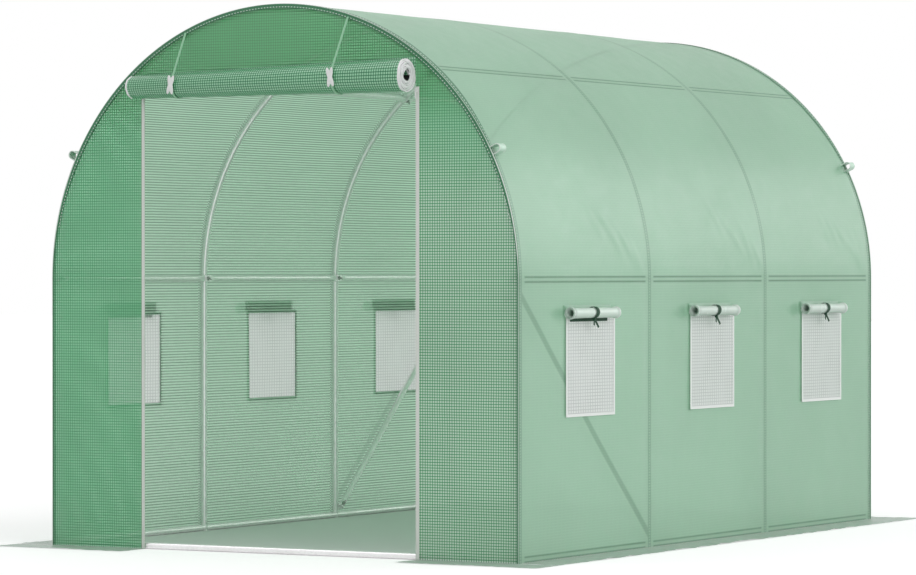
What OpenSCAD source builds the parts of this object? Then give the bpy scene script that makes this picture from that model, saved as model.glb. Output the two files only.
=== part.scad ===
// Walk-in polytunnel greenhouse: round-topped tube frame, sewn sheet cover with
// ground skirts, roll-up doorway in the front gable and roll-up windows in both walls.
// Millimetres, +X to the right of the doorway, +Y to the rear, +Z up,
// origin on the ground at the middle of the floor.

/* [Tunnel] */
// Overall width over the cover
tunnel_w = 2000; // [1800:10:2600]
// Overall length over the cover
tunnel_l = 3000; // [2700:10:4500]
// Overall height over the cover
tunnel_h = 2000; // [1800:10:2400]

/* [Frame] */
// Outside diameter of the frame tubes
tube_d = 25; // [19:1:32]
// Angle of the roof purlins above the spring line, degrees
purlin_angle = 49; // [35:1:60]
// Thickness of a flattened tube end
tongue_t = 3; // [2:0.5:5]
// Length of a flattened tube end beyond the middle of its hoop
tongue_tail = 12; // [6:0.5:12]
// Length over which a tube tapers to its flattened end
taper_l = 35; // [25:1:60]
// Height of a brace's upper end below the mid rail
brace_drop = 52; // [40:1:120]
// Height of a brace's lower end above the ground
brace_foot = 45; // [30:1:100]

/* [Cover] */
// Thickness of the cover sheet
film_t = 2; // [1:0.5:4]
// Width of the ground skirt
skirt_w = 160; // [140:5:300]

/* [Doorway] */
// Clear width of the doorway
door_w = 1165; // [900:5:1300]
// Drop of the doorway's head below the crown
head_drop = 300; // [260:5:450]
// Width of a door zip
zip_w = 14; // [8:1:25]
// Thickness of a door zip
zip_t = 2.5; // [1.5:0.5:4]
// How far a door zip runs up behind the rolled door
zip_rise = 22; // [0:1:24]

/* [Rolled door] */
// How far the rolled door hangs below the doorway's head
roll_drop = 35; // [20:1:45]
// Radius of the rolled door at its left end
roll_r_left = 43; // [35:1:55]
// Radius of the rolled door at its right end
roll_r_right = 62; // [50:1:75]
// Radius of the open core of the rolled door
roll_core_r = 22; // [8:1:28]
// Length of the rolled door beyond the doorway's width
roll_extra = 25; // [0:1:60]
// Sideways place of the rolled door's middle
roll_shift = -15; // [-30:1:30]

/* [Door straps] */
// Width of a door strap
strap_w = 8; // [5:1:20]
// Thickness of a door strap
strap_t = 2; // [1:0.5:3]
// Sideways place of the left strap where it meets the roll
strap_left_x = -402; // [-500:1:-300]
// Sideways place of the right strap where it meets the roll
strap_right_x = 298; // [150:1:400]
// How far a strap's top end lies to the right of its foot
strap_lean = 2; // [0:1:80]
// Length of a strap toggle
toggle_l = 72; // [50:1:90]
// Width of a strap toggle across its ears
toggle_w = 26; // [20:1:40]
// Thickness of a strap toggle
toggle_t = 7; // [4:1:12]

/* [Windows] */
// Width of a window opening
window_w = 355; // [300:5:480]
// Height of a window opening
window_h = 345; // [280:5:360]
// Drop of the window openings below the mid rails
window_drop = 140; // [100:1:220]
// How far the windows lie behind the middle of their bays
window_shift = 27; // [-60:1:60]
// Lap of a window screen over the cover
screen_lap = 10; // [6:1:12]
// Thickness of a window screen with its tape
screen_t = 1.5; // [1:0.5:3]

/* [Rolled window flaps] */
// Radius of a rolled window flap
flap_r = 20; // [15:1:24]
// Radius of the flap's bound ends
flap_end_r = 23.5; // [22:0.5:30]
// Length of each bound end
flap_end_l = 12; // [8:1:20]
// Radius of the flap roll's open core
flap_core_r = 14; // [8:1:14]
// Length of a rolled flap
flap_l = 355; // [340:5:520]
// How far a rolled flap lies in front of the middle of its window
flap_shift = 25; // [0:1:40]
// Drop of a rolled flap over the top of its opening
flap_drop = 4; // [0:1:8]
// Height of a flap's sewn hem above the middle of its roll
flap_hem = 28; // [25:1:60]
// Radius of the cord that ties a rolled flap
tie_cord_r = 1.4; // [1:0.1:1.6]
// Length of a tie's loose ends
tie_tail = 26; // [15:1:40]
// Radius of a tie's knot
knot_r = 4.5; // [3:0.5:6]

/* [Guy loops] */
// Angle of the guy loops above the spring line, degrees
loop_angle = 27; // [15:1:34]
// Reach of a guy loop from the cover
loop_reach = 38; // [34:1:80]
// Inside width of a guy loop
loop_gap = 26; // [16:1:40]
// Width of a guy loop's strip
loop_w = 42; // [25:1:60]
// Thickness of a guy loop's strip
loop_t = 3; // [2:0.5:5]

/* [Hidden] */
$fn = 96;
hoop_names = ["front_hoop", "second_hoop", "third_hoop", "rear_hoop"];

// Clearance between round pieces that rest on each other
seat = 0.3;
// Thickness of the slices that a flattened end is drawn between
slice = 0.2;
// Facets of a round slice inside a hull
hull_fn = 32;
// Reach of a cutter beyond the faces it cuts
past = 1;

half_w = tunnel_w / 2;
half_l = tunnel_l / 2;
spring_z = tunnel_h - half_w;
tube_r = tube_d / 2;
film_in = half_w - film_t;
gable_r = film_in - seat;
hoop_r = film_in - seat - tube_r;
hoop_inset = film_t + seat + tube_r;
bays = len(hoop_names) - 1;
bay_l = (tunnel_l - 2 * hoop_inset) / bays;
// Distance from a hoop's middle at which a flattened end is flat
tongue_l = tube_r + 10;
door_h = tunnel_h - head_drop;
window_top = spring_z - window_drop;
window_sill = window_top - window_h;
roll_bottom = door_h - roll_drop;
roll_l = door_w + roll_extra;
zip_h = roll_bottom + zip_rise;
// Angle around the roll at which a strap's lower end stops, from straight ahead
strap_end_angle = -125;
// Lap of a strap's straight run over its curved part, and of the curve over the run in degrees
strap_lap = 3;
strap_over = 2;
steel = "lightgray";
green = "mediumseagreen";

function hoop_y(i) = -half_l + hoop_inset + i * bay_l;
function window_y(i) = (hoop_y(i) + hoop_y(i + 1)) / 2 + window_shift;
function roll_radius(x) =
    roll_r_left + (roll_r_right - roll_r_left) * (x - roll_shift + roll_l / 2) / roll_l;
function roll_centre(x) =
    [x, -half_l - seat - roll_radius(x), roll_bottom + roll_radius(x)];
function arch_z(x) = spring_z + sqrt(gable_r * gable_r - x * x);

// Frame

module hoop(i) {
    color(steel) translate([0, hoop_y(i), 0]) {
        for (side = [-1, 1])
            translate([side * hoop_r, 0, 0]) cylinder(r = tube_r, h = spring_z);
        translate([0, 0, spring_z]) rotate([90, 0, 0])
            rotate_extrude(angle = 180) translate([hoop_r, 0]) circle(r = tube_r);
    }
}

// A flattened end on the inner side of a hoop at y, its tube leaving towards dir.
// Ends that share a hoop lie on each other in layers.
module flat_end(y, dir, layer) {
    inner = -(tube_r + seat + tongue_t / 2 + layer * (tongue_t + seat));
    hull() {
        translate([0, y + dir * (tongue_l + taper_l), 0]) rotate([90, 0, 0])
            cylinder(r = tube_r, h = slice, center = true, $fn = hull_fn);
        translate([inner, y + dir * tongue_l, 0])
            cube([tongue_t, slice, tube_d], center = true);
    }
    translate([inner, y + dir * (tongue_l - tongue_tail) / 2, 0])
        cube([tongue_t, tongue_l + tongue_tail, tube_d], center = true);
}

// Tubes between neighbouring hoops at a place on the arch, in degrees from the right spring
module rail(angle) {
    color(steel) translate([0, 0, spring_z]) rotate([0, -angle, 0]) translate([hoop_r, 0, 0])
        for (i = [0 : bays - 1]) {
            translate([0, hoop_y(i) + tongue_l + taper_l, 0]) rotate([-90, 0, 0])
                cylinder(r = tube_r, h = bay_l - 2 * (tongue_l + taper_l));
            flat_end(hoop_y(i), 1, i > 0 ? 1 : 0);
            flat_end(hoop_y(i + 1), -1, 0);
        }
}

// Tubes on the ground between neighbouring legs, their ends hollowed to the legs
module base_rail(side) {
    color(steel) difference() {
        for (i = [0 : bays - 1])
            translate([side * hoop_r, hoop_y(i), tube_r]) rotate([-90, 0, 0])
                cylinder(r = tube_r, h = bay_l);
        for (i = [0 : bays])
            translate([side * hoop_r, hoop_y(i), -past])
                cylinder(r = tube_r + seat, h = tube_d + 2 * past);
    }
}

// Tube on the ground across an end, its ends hollowed to the legs and the base rails
module sill(i) {
    color(steel) difference() {
        translate([-hoop_r, hoop_y(i), tube_r]) rotate([0, 90, 0])
            cylinder(r = tube_r, h = 2 * hoop_r);
        for (side = [-1, 1]) translate([side * hoop_r, hoop_y(i), tube_r]) {
            translate([0, 0, -tube_r - past])
                cylinder(r = tube_r + seat, h = tube_d + 2 * past);
            rotate([90, 0, 0]) cylinder(r = tube_r + seat, h = 2 * tube_d, center = true);
        }
    }
}

// Slanting tube on the inner side of the right wall's first two legs
module brace() {
    rise = spring_z - brace_drop - brace_foot;
    reach = norm([bay_l, rise]);
    color(steel) translate([hoop_r - tube_d - seat, hoop_y(1), brace_foot])
        rotate([atan2(bay_l, rise), 0, 0]) cylinder(r = tube_r, h = reach);
}

// Cover

module wall_cover() {
    color(green) difference() {
        translate([film_in, -half_l, 0]) cube([film_t, tunnel_l, spring_z]);
        for (i = [0 : bays - 1])
            translate([film_in - past, window_y(i) - window_w / 2, window_sill])
                cube([film_t + 2 * past, window_w, window_h]);
    }
}

module roof_cover(from, to) {
    color(green) translate([0, half_l, spring_z]) rotate([90, 0, 0]) rotate([0, 0, from])
        rotate_extrude(angle = to - from) translate([film_in, 0]) square([film_t, tunnel_l]);
}

// The whole round-topped end sheet with its outer face at y = 0
module gable_sheet() {
    translate([0, film_t, 0]) rotate([90, 0, 0]) linear_extrude(film_t) {
        translate([-gable_r, 0]) square([2 * gable_r, spring_z]);
        intersection() {
            translate([0, spring_z]) circle(r = gable_r, $fn = 180);
            translate([-gable_r, spring_z]) square([2 * gable_r, gable_r]);
        }
    }
}

// The part of the front gable between two places across and above a height
module front_panel(x0, x1, z0) {
    color(green) translate([0, -half_l, 0]) intersection() {
        gable_sheet();
        translate([x0, -past, z0]) cube([x1 - x0, film_t + 2 * past, tunnel_h]);
    }
}

module rear_gable() {
    color(green) translate([0, half_l - film_t, 0]) gable_sheet();
}

module side_skirt() {
    color(green) translate([half_w, -half_l, 0]) cube([skirt_w, tunnel_l, film_t]);
}

module end_skirt(x0, x1, y0) {
    color(green) translate([x0, y0, 0]) cube([x1 - x0, skirt_w, film_t]);
}

// Doorway

module door_roll() {
    start = roll_centre(roll_shift - roll_l / 2);
    reach = roll_centre(roll_shift + roll_l / 2) - start;
    l = norm(reach);
    color("seagreen") translate(start)
        rotate([0, acos(reach.z / l), atan2(reach.y, reach.x)]) difference() {
            cylinder(r1 = roll_r_left, r2 = roll_r_right, h = l);
            translate([0, 0, -past]) cylinder(r = roll_core_r, h = l + 2 * past);
        }
}

// Strap from the front arch down over the roll, its foot at x
module door_strap(x) {
    c = roll_centre(x);
    r = roll_radius(x) + 2 * seat;
    mid_r = r + strap_t / 2;
    top = [x + strap_lean, -half_l - strap_t / 2 - seat, arch_z(x + strap_lean) - strap_w];
    ahead = c.y - top.y;
    above = top.z - c.z;
    meet = atan2(above, ahead) - acos(mid_r / norm([ahead, above]));
    foot = c + [0, -mid_r * cos(meet), mid_r * sin(meet)];
    run = top - foot;
    color("palegreen") {
        translate(foot) rotate([atan2(-run.y, run.z), 0, 0]) rotate([0, asin(run.x / norm(run)), 0])
            translate([-strap_w / 2, -0.4 * strap_t, -strap_lap])
                cube([strap_w, 0.8 * strap_t, norm(run) + strap_lap]);
        translate(c) rotate([0, 90, 0]) rotate([0, 0, 270 - meet - strap_over])
            rotate_extrude(angle = meet + strap_over - strap_end_angle)
                translate([r, -strap_w / 2]) square([strap_t, strap_w]);
    }
}

// Moulded toggle with four ears, upright against the front of the roll
module door_toggle(x) {
    c = roll_centre(x);
    ear_r = toggle_w / 4;
    color("white")
        translate([x, c.y - roll_radius(x) - strap_t - 3 * seat, c.z]) rotate([90, 0, 0])
            linear_extrude(toggle_t) {
                square([toggle_w / 2, toggle_l - 2 * ear_r], center = true);
                for (side = [-1, 1], end = [-1, 1])
                    translate([side * (toggle_w / 2 - ear_r), end * (toggle_l / 2 - ear_r)])
                        circle(r = ear_r);
            }
}

// Zip beside the doorway, from just above the skirt to behind the lower part of the roll
module door_zip(side) {
    foot_z = film_t + seat;
    color("whitesmoke")
        translate([side * (door_w / 2 + zip_w / 2) - zip_w / 2, -half_l - zip_t, foot_z])
            cube([zip_w, zip_t, zip_h - foot_z]);
}

// Windows, drawn for the right wall

module window_screens() {
    color("gainsboro") for (i = [0 : bays - 1])
        translate([half_w, window_y(i) - window_w / 2 - screen_lap, window_sill - screen_lap])
            cube([screen_t, window_w + 2 * screen_lap, window_h + 2 * screen_lap]);
}

// Places its children at the middle of each rolled flap, with the flap's axis along Y
module at_flaps() {
    for (i = [0 : bays - 1])
        translate([half_w + screen_t + flap_end_r - seat, window_y(i) - flap_shift,
                   window_top - flap_drop + flap_end_r])
            children();
}

// Rolled flap that hangs from a hem sewn to the wall above its opening
module window_flaps() {
    hem_z = screen_lap + flap_drop - flap_end_r + seat;
    color("honeydew") at_flaps() {
        rotate([90, 0, 0]) difference() {
            union() {
                cylinder(r = flap_r, h = flap_l, center = true);
                for (end = [-1, 1])
                    translate([0, 0, end * (flap_l - flap_end_l) / 2])
                        cylinder(r = flap_end_r, h = flap_end_l, center = true);
            }
            cylinder(r = flap_core_r, h = flap_l + 2 * past, center = true);
        }
        translate([seat - flap_end_r - screen_t, -flap_l / 2, hem_z])
            cube([screen_t, flap_l, flap_hem - hem_z]);
    }
}

// Cord loop round the rolled flap with a knot below it and two loose ends
module window_ties() {
    loop_r = flap_r + seat / 2 + tie_cord_r;
    knot_z = -(flap_r + seat + knot_r);
    color("darkgreen") at_flaps() {
        rotate([90, 0, 0]) rotate_extrude() translate([loop_r, 0]) circle(r = tie_cord_r, $fn = 24);
        translate([0, 0, knot_z]) sphere(r = knot_r, $fn = 24);
        for (lean = [-35, 25])
            translate([0, 0, knot_z]) rotate([180 + lean, 0, 0])
                cylinder(r = tie_cord_r, h = tie_tail, $fn = 24);
    }
}

// Strip folded into a loop that stands out from the cover's edge; open side to the cover
module guy_loop() {
    out_r = loop_gap / 2 + loop_t;
    bend = loop_reach - out_r;
    translate([0, 0, spring_z]) rotate([0, -loop_angle, 0]) translate([half_w + seat, -half_l, 0])
        translate([0, loop_w, 0]) rotate([90, 0, 0]) linear_extrude(loop_w) difference() {
            union() {
                translate([0, -out_r]) square([bend, 2 * out_r]);
                translate([bend, 0]) circle(r = out_r);
            }
            translate([-past, -loop_gap / 2]) square([bend + past, loop_gap]);
            translate([bend, 0]) circle(r = loop_gap / 2);
        }
}

module guy_loops() {
    color("darkseagreen") for (mx = [0, 1], my = [0, 1])
        mirror([mx, 0, 0]) mirror([0, my, 0]) guy_loop();
}

for (i = [0 : bays])
    hoop(i);
base_rail(-1);  // left_base_rail
base_rail(1);  // right_base_rail
rail(180);  // left_mid_rail
rail(0);  // right_mid_rail
rail(180 - purlin_angle);  // left_purlin
rail(purlin_angle);  // right_purlin
sill(0);  // front_sill
sill(bays);  // rear_sill
brace();  // right_front_brace
rotate([0, 0, 180]) brace();  // left_rear_brace
mirror([1, 0, 0]) wall_cover();  // left_wall_cover
wall_cover();  // right_wall_cover
roof_cover(180 - purlin_angle, 180);  // left_eaves_cover
roof_cover(purlin_angle, 180 - purlin_angle);  // crown_cover
roof_cover(0, purlin_angle);  // right_eaves_cover
front_panel(-half_w, -door_w / 2, 0);  // front_left_panel
front_panel(door_w / 2, half_w, 0);  // front_right_panel
front_panel(-door_w / 2, door_w / 2, door_h);  // front_top_panel
rear_gable();
mirror([1, 0, 0]) side_skirt();  // left_skirt
side_skirt();  // right_skirt
end_skirt(-half_w - skirt_w, -door_w / 2, -half_l - skirt_w);  // front_left_skirt
end_skirt(door_w / 2, half_w + skirt_w, -half_l - skirt_w);  // front_right_skirt
end_skirt(-half_w - skirt_w, half_w + skirt_w, half_l);  // rear_skirt
door_roll();
union() { door_strap(strap_left_x); door_strap(strap_right_x); }  // door_straps
union() { door_toggle(strap_left_x); door_toggle(strap_right_x); }  // door_toggles
door_zip(-1);  // left_door_zip
door_zip(1);  // right_door_zip
mirror([1, 0, 0]) window_screens();  // left_window_screens
window_screens();  // right_window_screens
mirror([1, 0, 0]) window_flaps();  // left_window_flaps
window_flaps();  // right_window_flaps
mirror([1, 0, 0]) window_ties();  // left_window_ties
window_ties();  // right_window_ties
guy_loops();
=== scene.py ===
import math

import bmesh
import bpy
import numpy as np
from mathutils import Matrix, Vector


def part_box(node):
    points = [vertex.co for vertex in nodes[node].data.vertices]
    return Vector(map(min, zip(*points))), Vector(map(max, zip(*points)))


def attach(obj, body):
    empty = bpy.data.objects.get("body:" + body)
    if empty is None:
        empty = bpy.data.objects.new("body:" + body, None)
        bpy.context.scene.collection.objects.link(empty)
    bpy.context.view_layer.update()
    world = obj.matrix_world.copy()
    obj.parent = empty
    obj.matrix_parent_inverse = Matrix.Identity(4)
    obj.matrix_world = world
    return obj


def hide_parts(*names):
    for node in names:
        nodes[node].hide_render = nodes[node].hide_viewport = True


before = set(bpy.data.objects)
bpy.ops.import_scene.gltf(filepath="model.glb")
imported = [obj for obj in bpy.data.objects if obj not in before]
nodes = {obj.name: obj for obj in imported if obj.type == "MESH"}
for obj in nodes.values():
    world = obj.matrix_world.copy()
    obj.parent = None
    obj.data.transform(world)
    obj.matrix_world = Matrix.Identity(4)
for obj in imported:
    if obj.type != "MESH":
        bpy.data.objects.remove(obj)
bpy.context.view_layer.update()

pi = math.pi
scene = bpy.context.scene

# places read back from the solids, in metres, so that the soft pieces follow them
tunnel = {
    "radius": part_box("right_wall_cover")[1].x,  # outside of the cover
    "spring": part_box("right_wall_cover")[1].z,  # height at which the walls turn into the arch
    "front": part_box("crown_cover")[0].y,
    "rear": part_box("crown_cover")[1].y,
    "doorHalf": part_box("front_top_panel")[1].x,
    "doorHead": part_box("front_top_panel")[0].z,
    "skirt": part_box("right_skirt")[1].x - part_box("right_wall_cover")[1].x,
    "tube": 0.0125,  # radius of the frame tubes
    "purlin": math.radians(49),  # angle of the purlins above the spring line
    "filmIn": 0.001,  # the sheet lies in the middle of its solid
}
hoopNames = ("front_hoop", "second_hoop", "third_hoop", "rear_hoop")
hoopPlaces = np.array([(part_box(name)[0].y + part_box(name)[1].y) / 2 for name in hoopNames])
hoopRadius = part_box("front_hoop")[1].x - tunnel["tube"]
filmRadius = tunnel["radius"] - tunnel["filmIn"]
archLength = 2 * tunnel["spring"] + pi * filmRadius
purlinUp = filmRadius * tunnel["purlin"]  # from the spring line along the sheet
gables = (("front", tunnel["front"], 1), ("rear", tunnel["rear"], -1))
sides = ((1, "right"), (-1, "left"))
alongX, alongY = np.array([1.0, 0.0, 0.0]), np.array([0.0, 1.0, 0.0])

windows = {
    "width": 0.355,
    "lap": 0.010,  # of the screen over the wall
    "shift": 0.027,  # behind the middle of the bay
}
windows["sill"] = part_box("right_window_screens")[0].z + windows["lap"]
windows["top"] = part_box("right_window_screens")[1].z - windows["lap"]
windowPlaces = (hoopPlaces[:-1] + hoopPlaces[1:]) / 2 + windows["shift"]
print("frame loaded:", len(nodes), "nodes")


photoCamera = {
    "place": (8.026, -14.115, 1.039),
    "turn": math.radians(29.957),  # to the left of +Y
    "tilt": math.radians(-0.264),
    "lens": 161.61,
    "sensor": 36.0,
    "farthest": 200.0,
}


def aimCamera(cam):
    # look along +Y, turned to the left and tilted up by the two angles
    data = bpy.data.cameras.new("photoCamera")
    data.sensor_width = cam["sensor"]
    data.lens = cam["lens"]
    data.clip_end = cam["farthest"]
    eye = bpy.data.objects.new("photoCamera", data)
    level = math.cos(cam["tilt"])
    look = Vector((-math.sin(cam["turn"]) * level, math.cos(cam["turn"]) * level, math.sin(cam["tilt"])))
    eye.location = cam["place"]
    eye.rotation_euler = look.to_track_quat("-Z", "Y").to_euler()
    scene.collection.objects.link(eye)
    scene.camera = eye


aimCamera(photoCamera)
print("camera placed")


def gridFaces(rows, columns):
    # quads of a rows x columns grid of points, counted row by row
    corner = np.arange(rows * columns).reshape(rows, columns)
    quads = np.stack([corner[:-1, :-1], corner[1:, :-1], corner[1:, 1:], corner[:-1, 1:]], -1)
    return quads.reshape(-1, 4)


def grid(rows, columns):
    return np.meshgrid(rows, columns, indexing="ij")


def slab(top, bottom):
    # closed shell between two grids of the same size: both grids and the strip round their border
    rows, columns = top.shape[:2]
    count = rows * columns
    corner = np.arange(count).reshape(rows, columns)
    border = np.concatenate([corner[0], corner[1:, -1], corner[-1, -2::-1], corner[-2:0:-1, 0]])
    after = np.roll(border, -1)
    strip = np.stack([border, after, after + count, border + count], -1)
    faces = np.concatenate([gridFaces(rows, columns), gridFaces(rows, columns)[:, ::-1] + count, strip])
    return np.concatenate([top.reshape(-1, 3), bottom.reshape(-1, 3)]), faces


def slabUv(u, v):
    # the same flat places for both faces of a slab
    return np.tile(np.stack([u, v], -1).reshape(-1, 2), (2, 1))


def runLength(path):
    # distance along a path at each of its points
    return np.concatenate([[0], np.cumsum(np.linalg.norm(np.diff(path, axis=0), axis=-1))])


def unit(vectors):
    return vectors / np.linalg.norm(vectors, axis=-1, keepdims=True)


def carry(path, profile, up, loop=False, scale=1.0):
    # closed profile (across, above) carried along a path: path + scale * (across * side + above * lift),
    # with the ends drawn to a point unless the path is a loop
    along = np.gradient(path, axis=0)
    if loop:
        along[0] = along[-1] = path[1] - path[-2]
    side = unit(np.cross(unit(along), np.broadcast_to(up, path.shape)))
    lift = np.cross(side, unit(along))
    profile = np.concatenate([profile, profile[:1]])
    sized = np.broadcast_to(scale, len(path))[:, None, None] * profile
    points = path[:, None] + sized[..., :1] * side[:, None] + sized[..., 1:] * lift[:, None]
    if not loop:
        ends = [np.broadcast_to(path[k], points[:1].shape) for k in (0, -1)]
        points = np.concatenate([ends[0], points, ends[1]])
    return points.reshape(-1, 3), gridFaces(*points.shape[:2])


def roundProfile(radius, count):
    angle = np.arange(count) * 2 * pi / count
    return radius * np.stack([np.cos(angle), np.sin(angle)], -1)


def lathe(profile, count):
    # outline (radius, height) turned about the z axis
    angle = np.linspace(0, 2 * pi, count + 1)
    ring = np.stack([np.cos(angle), np.sin(angle)], -1)
    flat = profile[:, None, :1] * ring[None]
    height = np.broadcast_to(profile[:, None, 1:], flat[..., :1].shape)
    points = np.concatenate([flat, height], -1)
    return points.reshape(-1, 3), gridFaces(len(profile), count + 1)


def ellipsoid(length, radius, rings=5, count=6):
    # rings along x, drawn to a point at both ends
    tilt = np.linspace(-pi / 2, pi / 2, rings)
    angle = np.linspace(0, 2 * pi, count + 1)
    x = np.broadcast_to(np.sin(tilt)[:, None] * length / 2, (rings, count + 1))
    r = np.cos(tilt)[:, None] * radius
    points = np.stack([x, r * np.cos(angle), r * np.sin(angle)], -1)
    return points.reshape(-1, 3), gridFaces(rings, count + 1)


def copies(shape, origins, axes):
    # one shape set at many places: origin + x * first axis + y * second + z * third
    base, faces = shape
    points = origins[:, None] + np.einsum("pk,nkd->npd", base, axes)
    shift = np.arange(len(origins)) * len(base)
    return points.reshape(-1, 3), (faces[None] + shift[:, None, None]).reshape(-1, faces.shape[1])


def together(*shapes):
    # several shapes as one list of points and faces
    points, faces, count = [], [], 0
    for part, quads in shapes:
        points.append(part.reshape(-1, 3))
        faces.append(quads + count)
        count += len(points[-1])
    return np.concatenate(points), np.concatenate(faces)


def flipX(points, side):
    return points * np.array([side, 1, 1])


finishes = {}


def putPiece(name, shape, finish, uv=None, weld=False, sharp=40, facing=None, side=1):
    # mesh from whole arrays, mirrored where side is -1; weld closes seams and poles and turns the faces of
    # a closed shape outwards, and facing gives the way that most of an open sheet looks
    points, faces = shape
    mesh = bpy.data.meshes.new(name)
    mesh.from_pydata(flipX(points.reshape(-1, 3), side).tolist(), [], faces.tolist())
    if uv is not None:
        corners = np.empty(len(mesh.loops), np.int32)
        mesh.loops.foreach_get("vertex_index", corners)
        layer = mesh.uv_layers.new(name="flat")
        layer.data.foreach_set("uv", uv.reshape(-1, 2)[corners].astype(np.float32).ravel())
    if weld:
        work = bmesh.new()
        work.from_mesh(mesh)
        bmesh.ops.remove_doubles(work, verts=work.verts, dist=1e-6)
        bmesh.ops.recalc_face_normals(work, faces=work.faces)
        work.to_mesh(mesh)
        work.free()
    if facing is not None:
        normals = np.empty(3 * len(mesh.polygons), np.float32)
        mesh.polygons.foreach_get("normal", normals)
        if (normals.reshape(-1, 3) @ np.array(facing)).sum() < 0:
            mesh.flip_normals()
    mesh.shade_smooth()
    mesh.set_sharp_from_angle(angle=math.radians(sharp))
    mesh.materials.append(finishes[finish])
    piece = bpy.data.objects.new(name, mesh)
    scene.collection.objects.link(piece)
    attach(piece, "root")
    return piece


def steps(stops, size):
    # even steps of about one size between neighbouring stops, every stop kept
    runs = [
        np.linspace(a, b, max(1, math.ceil((b - a) / size)) + 1)[:-1] for a, b in zip(stops[:-1], stops[1:])
    ]
    return np.concatenate(runs + [np.array([stops[-1]])])


def ease(share):
    return share**2 * (3 - 2 * share)


def archLine(distance):
    # up the left wall, over the round top and down the right wall of the sheet:
    # place (x, z) and outward direction at each distance from the left foot
    turn = np.clip((distance - tunnel["spring"]) / filmRadius, 0, pi)
    up = np.clip(distance, None, tunnel["spring"])
    down = np.clip(distance - archLength + tunnel["spring"], 0, None)
    place = np.stack([-filmRadius * np.cos(turn), up + filmRadius * np.sin(turn) - down], -1)
    outward = np.stack([-np.cos(turn), np.sin(turn)], -1)
    return place, outward


def overArch(distance, y, offset):
    # points above the sheet at a distance round the arch, a place along the tunnel and an outward offset
    place, outward = archLine(distance)
    flat = place + outward * offset[..., None]
    return np.stack([flat[..., 0], np.broadcast_to(y, flat[..., 0].shape), flat[..., 1]], -1)


def waves(a, b, seed, count=7, longest=0.9, shortest=0.25):
    # sum of plane sine waves of random direction, length and phase, about -1 to 1
    rng = np.random.default_rng(seed)
    total = np.zeros(np.broadcast(a, b).shape)
    for turn, length, phase in zip(
        rng.uniform(0, pi, count), rng.uniform(shortest, longest, count), rng.uniform(0, 2 * pi, count)
    ):
        total = total + np.sin((a * np.cos(turn) + b * np.sin(turn)) * 2 * pi / length + phase)
    return total / math.sqrt(count)


def addNode(tree, kind, values=None, **settings):
    made = tree.nodes.new(kind)
    for name, value in settings.items():
        setattr(made, name, value)
    for name, value in (values or {}).items():
        made.inputs[name].default_value = value
    return made


def wire(tree, source, target):
    # a socket is linked, anything else is set as the value
    if hasattr(source, "is_output"):
        tree.links.new(source, target)
    else:
        target.default_value = source


def doMath(tree, operation, first, second=None):
    made = addNode(tree, "ShaderNodeMath", operation=operation)
    wire(tree, first, made.inputs[0])
    if second is not None:
        wire(tree, second, made.inputs[1])
    return made.outputs[0]


def times(tree, first, second):
    return doMath(tree, "MULTIPLY", first, second)


def minus(tree, first, second):
    return doMath(tree, "SUBTRACT", first, second)


def larger(tree, first, second):
    return doMath(tree, "MAXIMUM", first, second)


def apart(tree, first, second):
    return doMath(tree, "ABSOLUTE", minus(tree, first, second))


def splitAxes(tree, source):
    made = addNode(tree, "ShaderNodeSeparateXYZ")
    wire(tree, source, made.inputs[0])
    return made.outputs


def mapRange(tree, value, low, high, toLow=0.0, toHigh=1.0, smooth=True):
    made = addNode(tree, "ShaderNodeMapRange", interpolation_type="SMOOTHSTEP" if smooth else "LINEAR")
    for name, source in (
        ("Value", value), ("From Min", low), ("From Max", high), ("To Min", toLow), ("To Max", toHigh)
    ):
        wire(tree, source, made.inputs[name])
    return made.outputs[0]


def between(tree, share, low, high):
    # from low to high in step with the share
    return mapRange(tree, share, 0.0, 1.0, low, high, False)


def mixColour(tree, factor, first, second, blend="MIX"):
    made = addNode(tree, "ShaderNodeMix", data_type="RGBA", blend_type=blend)
    for place, source in ((0, factor), (6, first), (7, second)):
        if not hasattr(source, "is_output") and place > 0:
            source = (*source, 1.0)
        wire(tree, source, made.inputs[place])
    return made.outputs[2]


def newGroup(name, inputs, outputs):
    # inputs are numbers, apart from the coordinate
    group = bpy.data.node_groups.new(name, "ShaderNodeTree")
    for label in inputs:
        kind = "NodeSocketVector" if label == "Coordinate" else "NodeSocketFloat"
        group.interface.new_socket(name=label, in_out="INPUT", socket_type=kind)
    for label in outputs:
        group.interface.new_socket(name=label, in_out="OUTPUT", socket_type="NodeSocketFloat")
    return group, group.nodes.new("NodeGroupInput").outputs, group.nodes.new("NodeGroupOutput").inputs


def makeOpenWeave():
    # tapes of an open weave: 1 near the whole multiples of the pitch along either coordinate
    group, given, result = newGroup(
        "openWeave", ("Coordinate", "Pitch", "Width", "Edge"), ("Across", "Along", "Tapes", "Crossings")
    )
    start = minus(group, 0.5, times(group, given["Width"], 0.5))
    low = minus(group, start, given["Edge"])
    high = doMath(group, "ADD", start, given["Edge"])
    masks = []
    for place in splitAxes(group, given["Coordinate"])[:2]:
        share = doMath(group, "DIVIDE", place, given["Pitch"])
        masks.append(mapRange(group, apart(group, doMath(group, "FRACT", share), 0.5), low, high))
    wire(group, masks[0], result["Across"])
    wire(group, masks[1], result["Along"])
    wire(group, larger(group, *masks), result["Tapes"])
    wire(group, times(group, *masks), result["Crossings"])
    return group


cloudNoise = {"fineRatio": 11.0, "slowDetail": 2.0, "fineDetail": 5.0, "range": (0.3, 0.7)}
dustNoise = {"grain": {"Scale": 9.0, "Detail": 6.0}, "range": (0.35, 0.65)}


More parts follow.
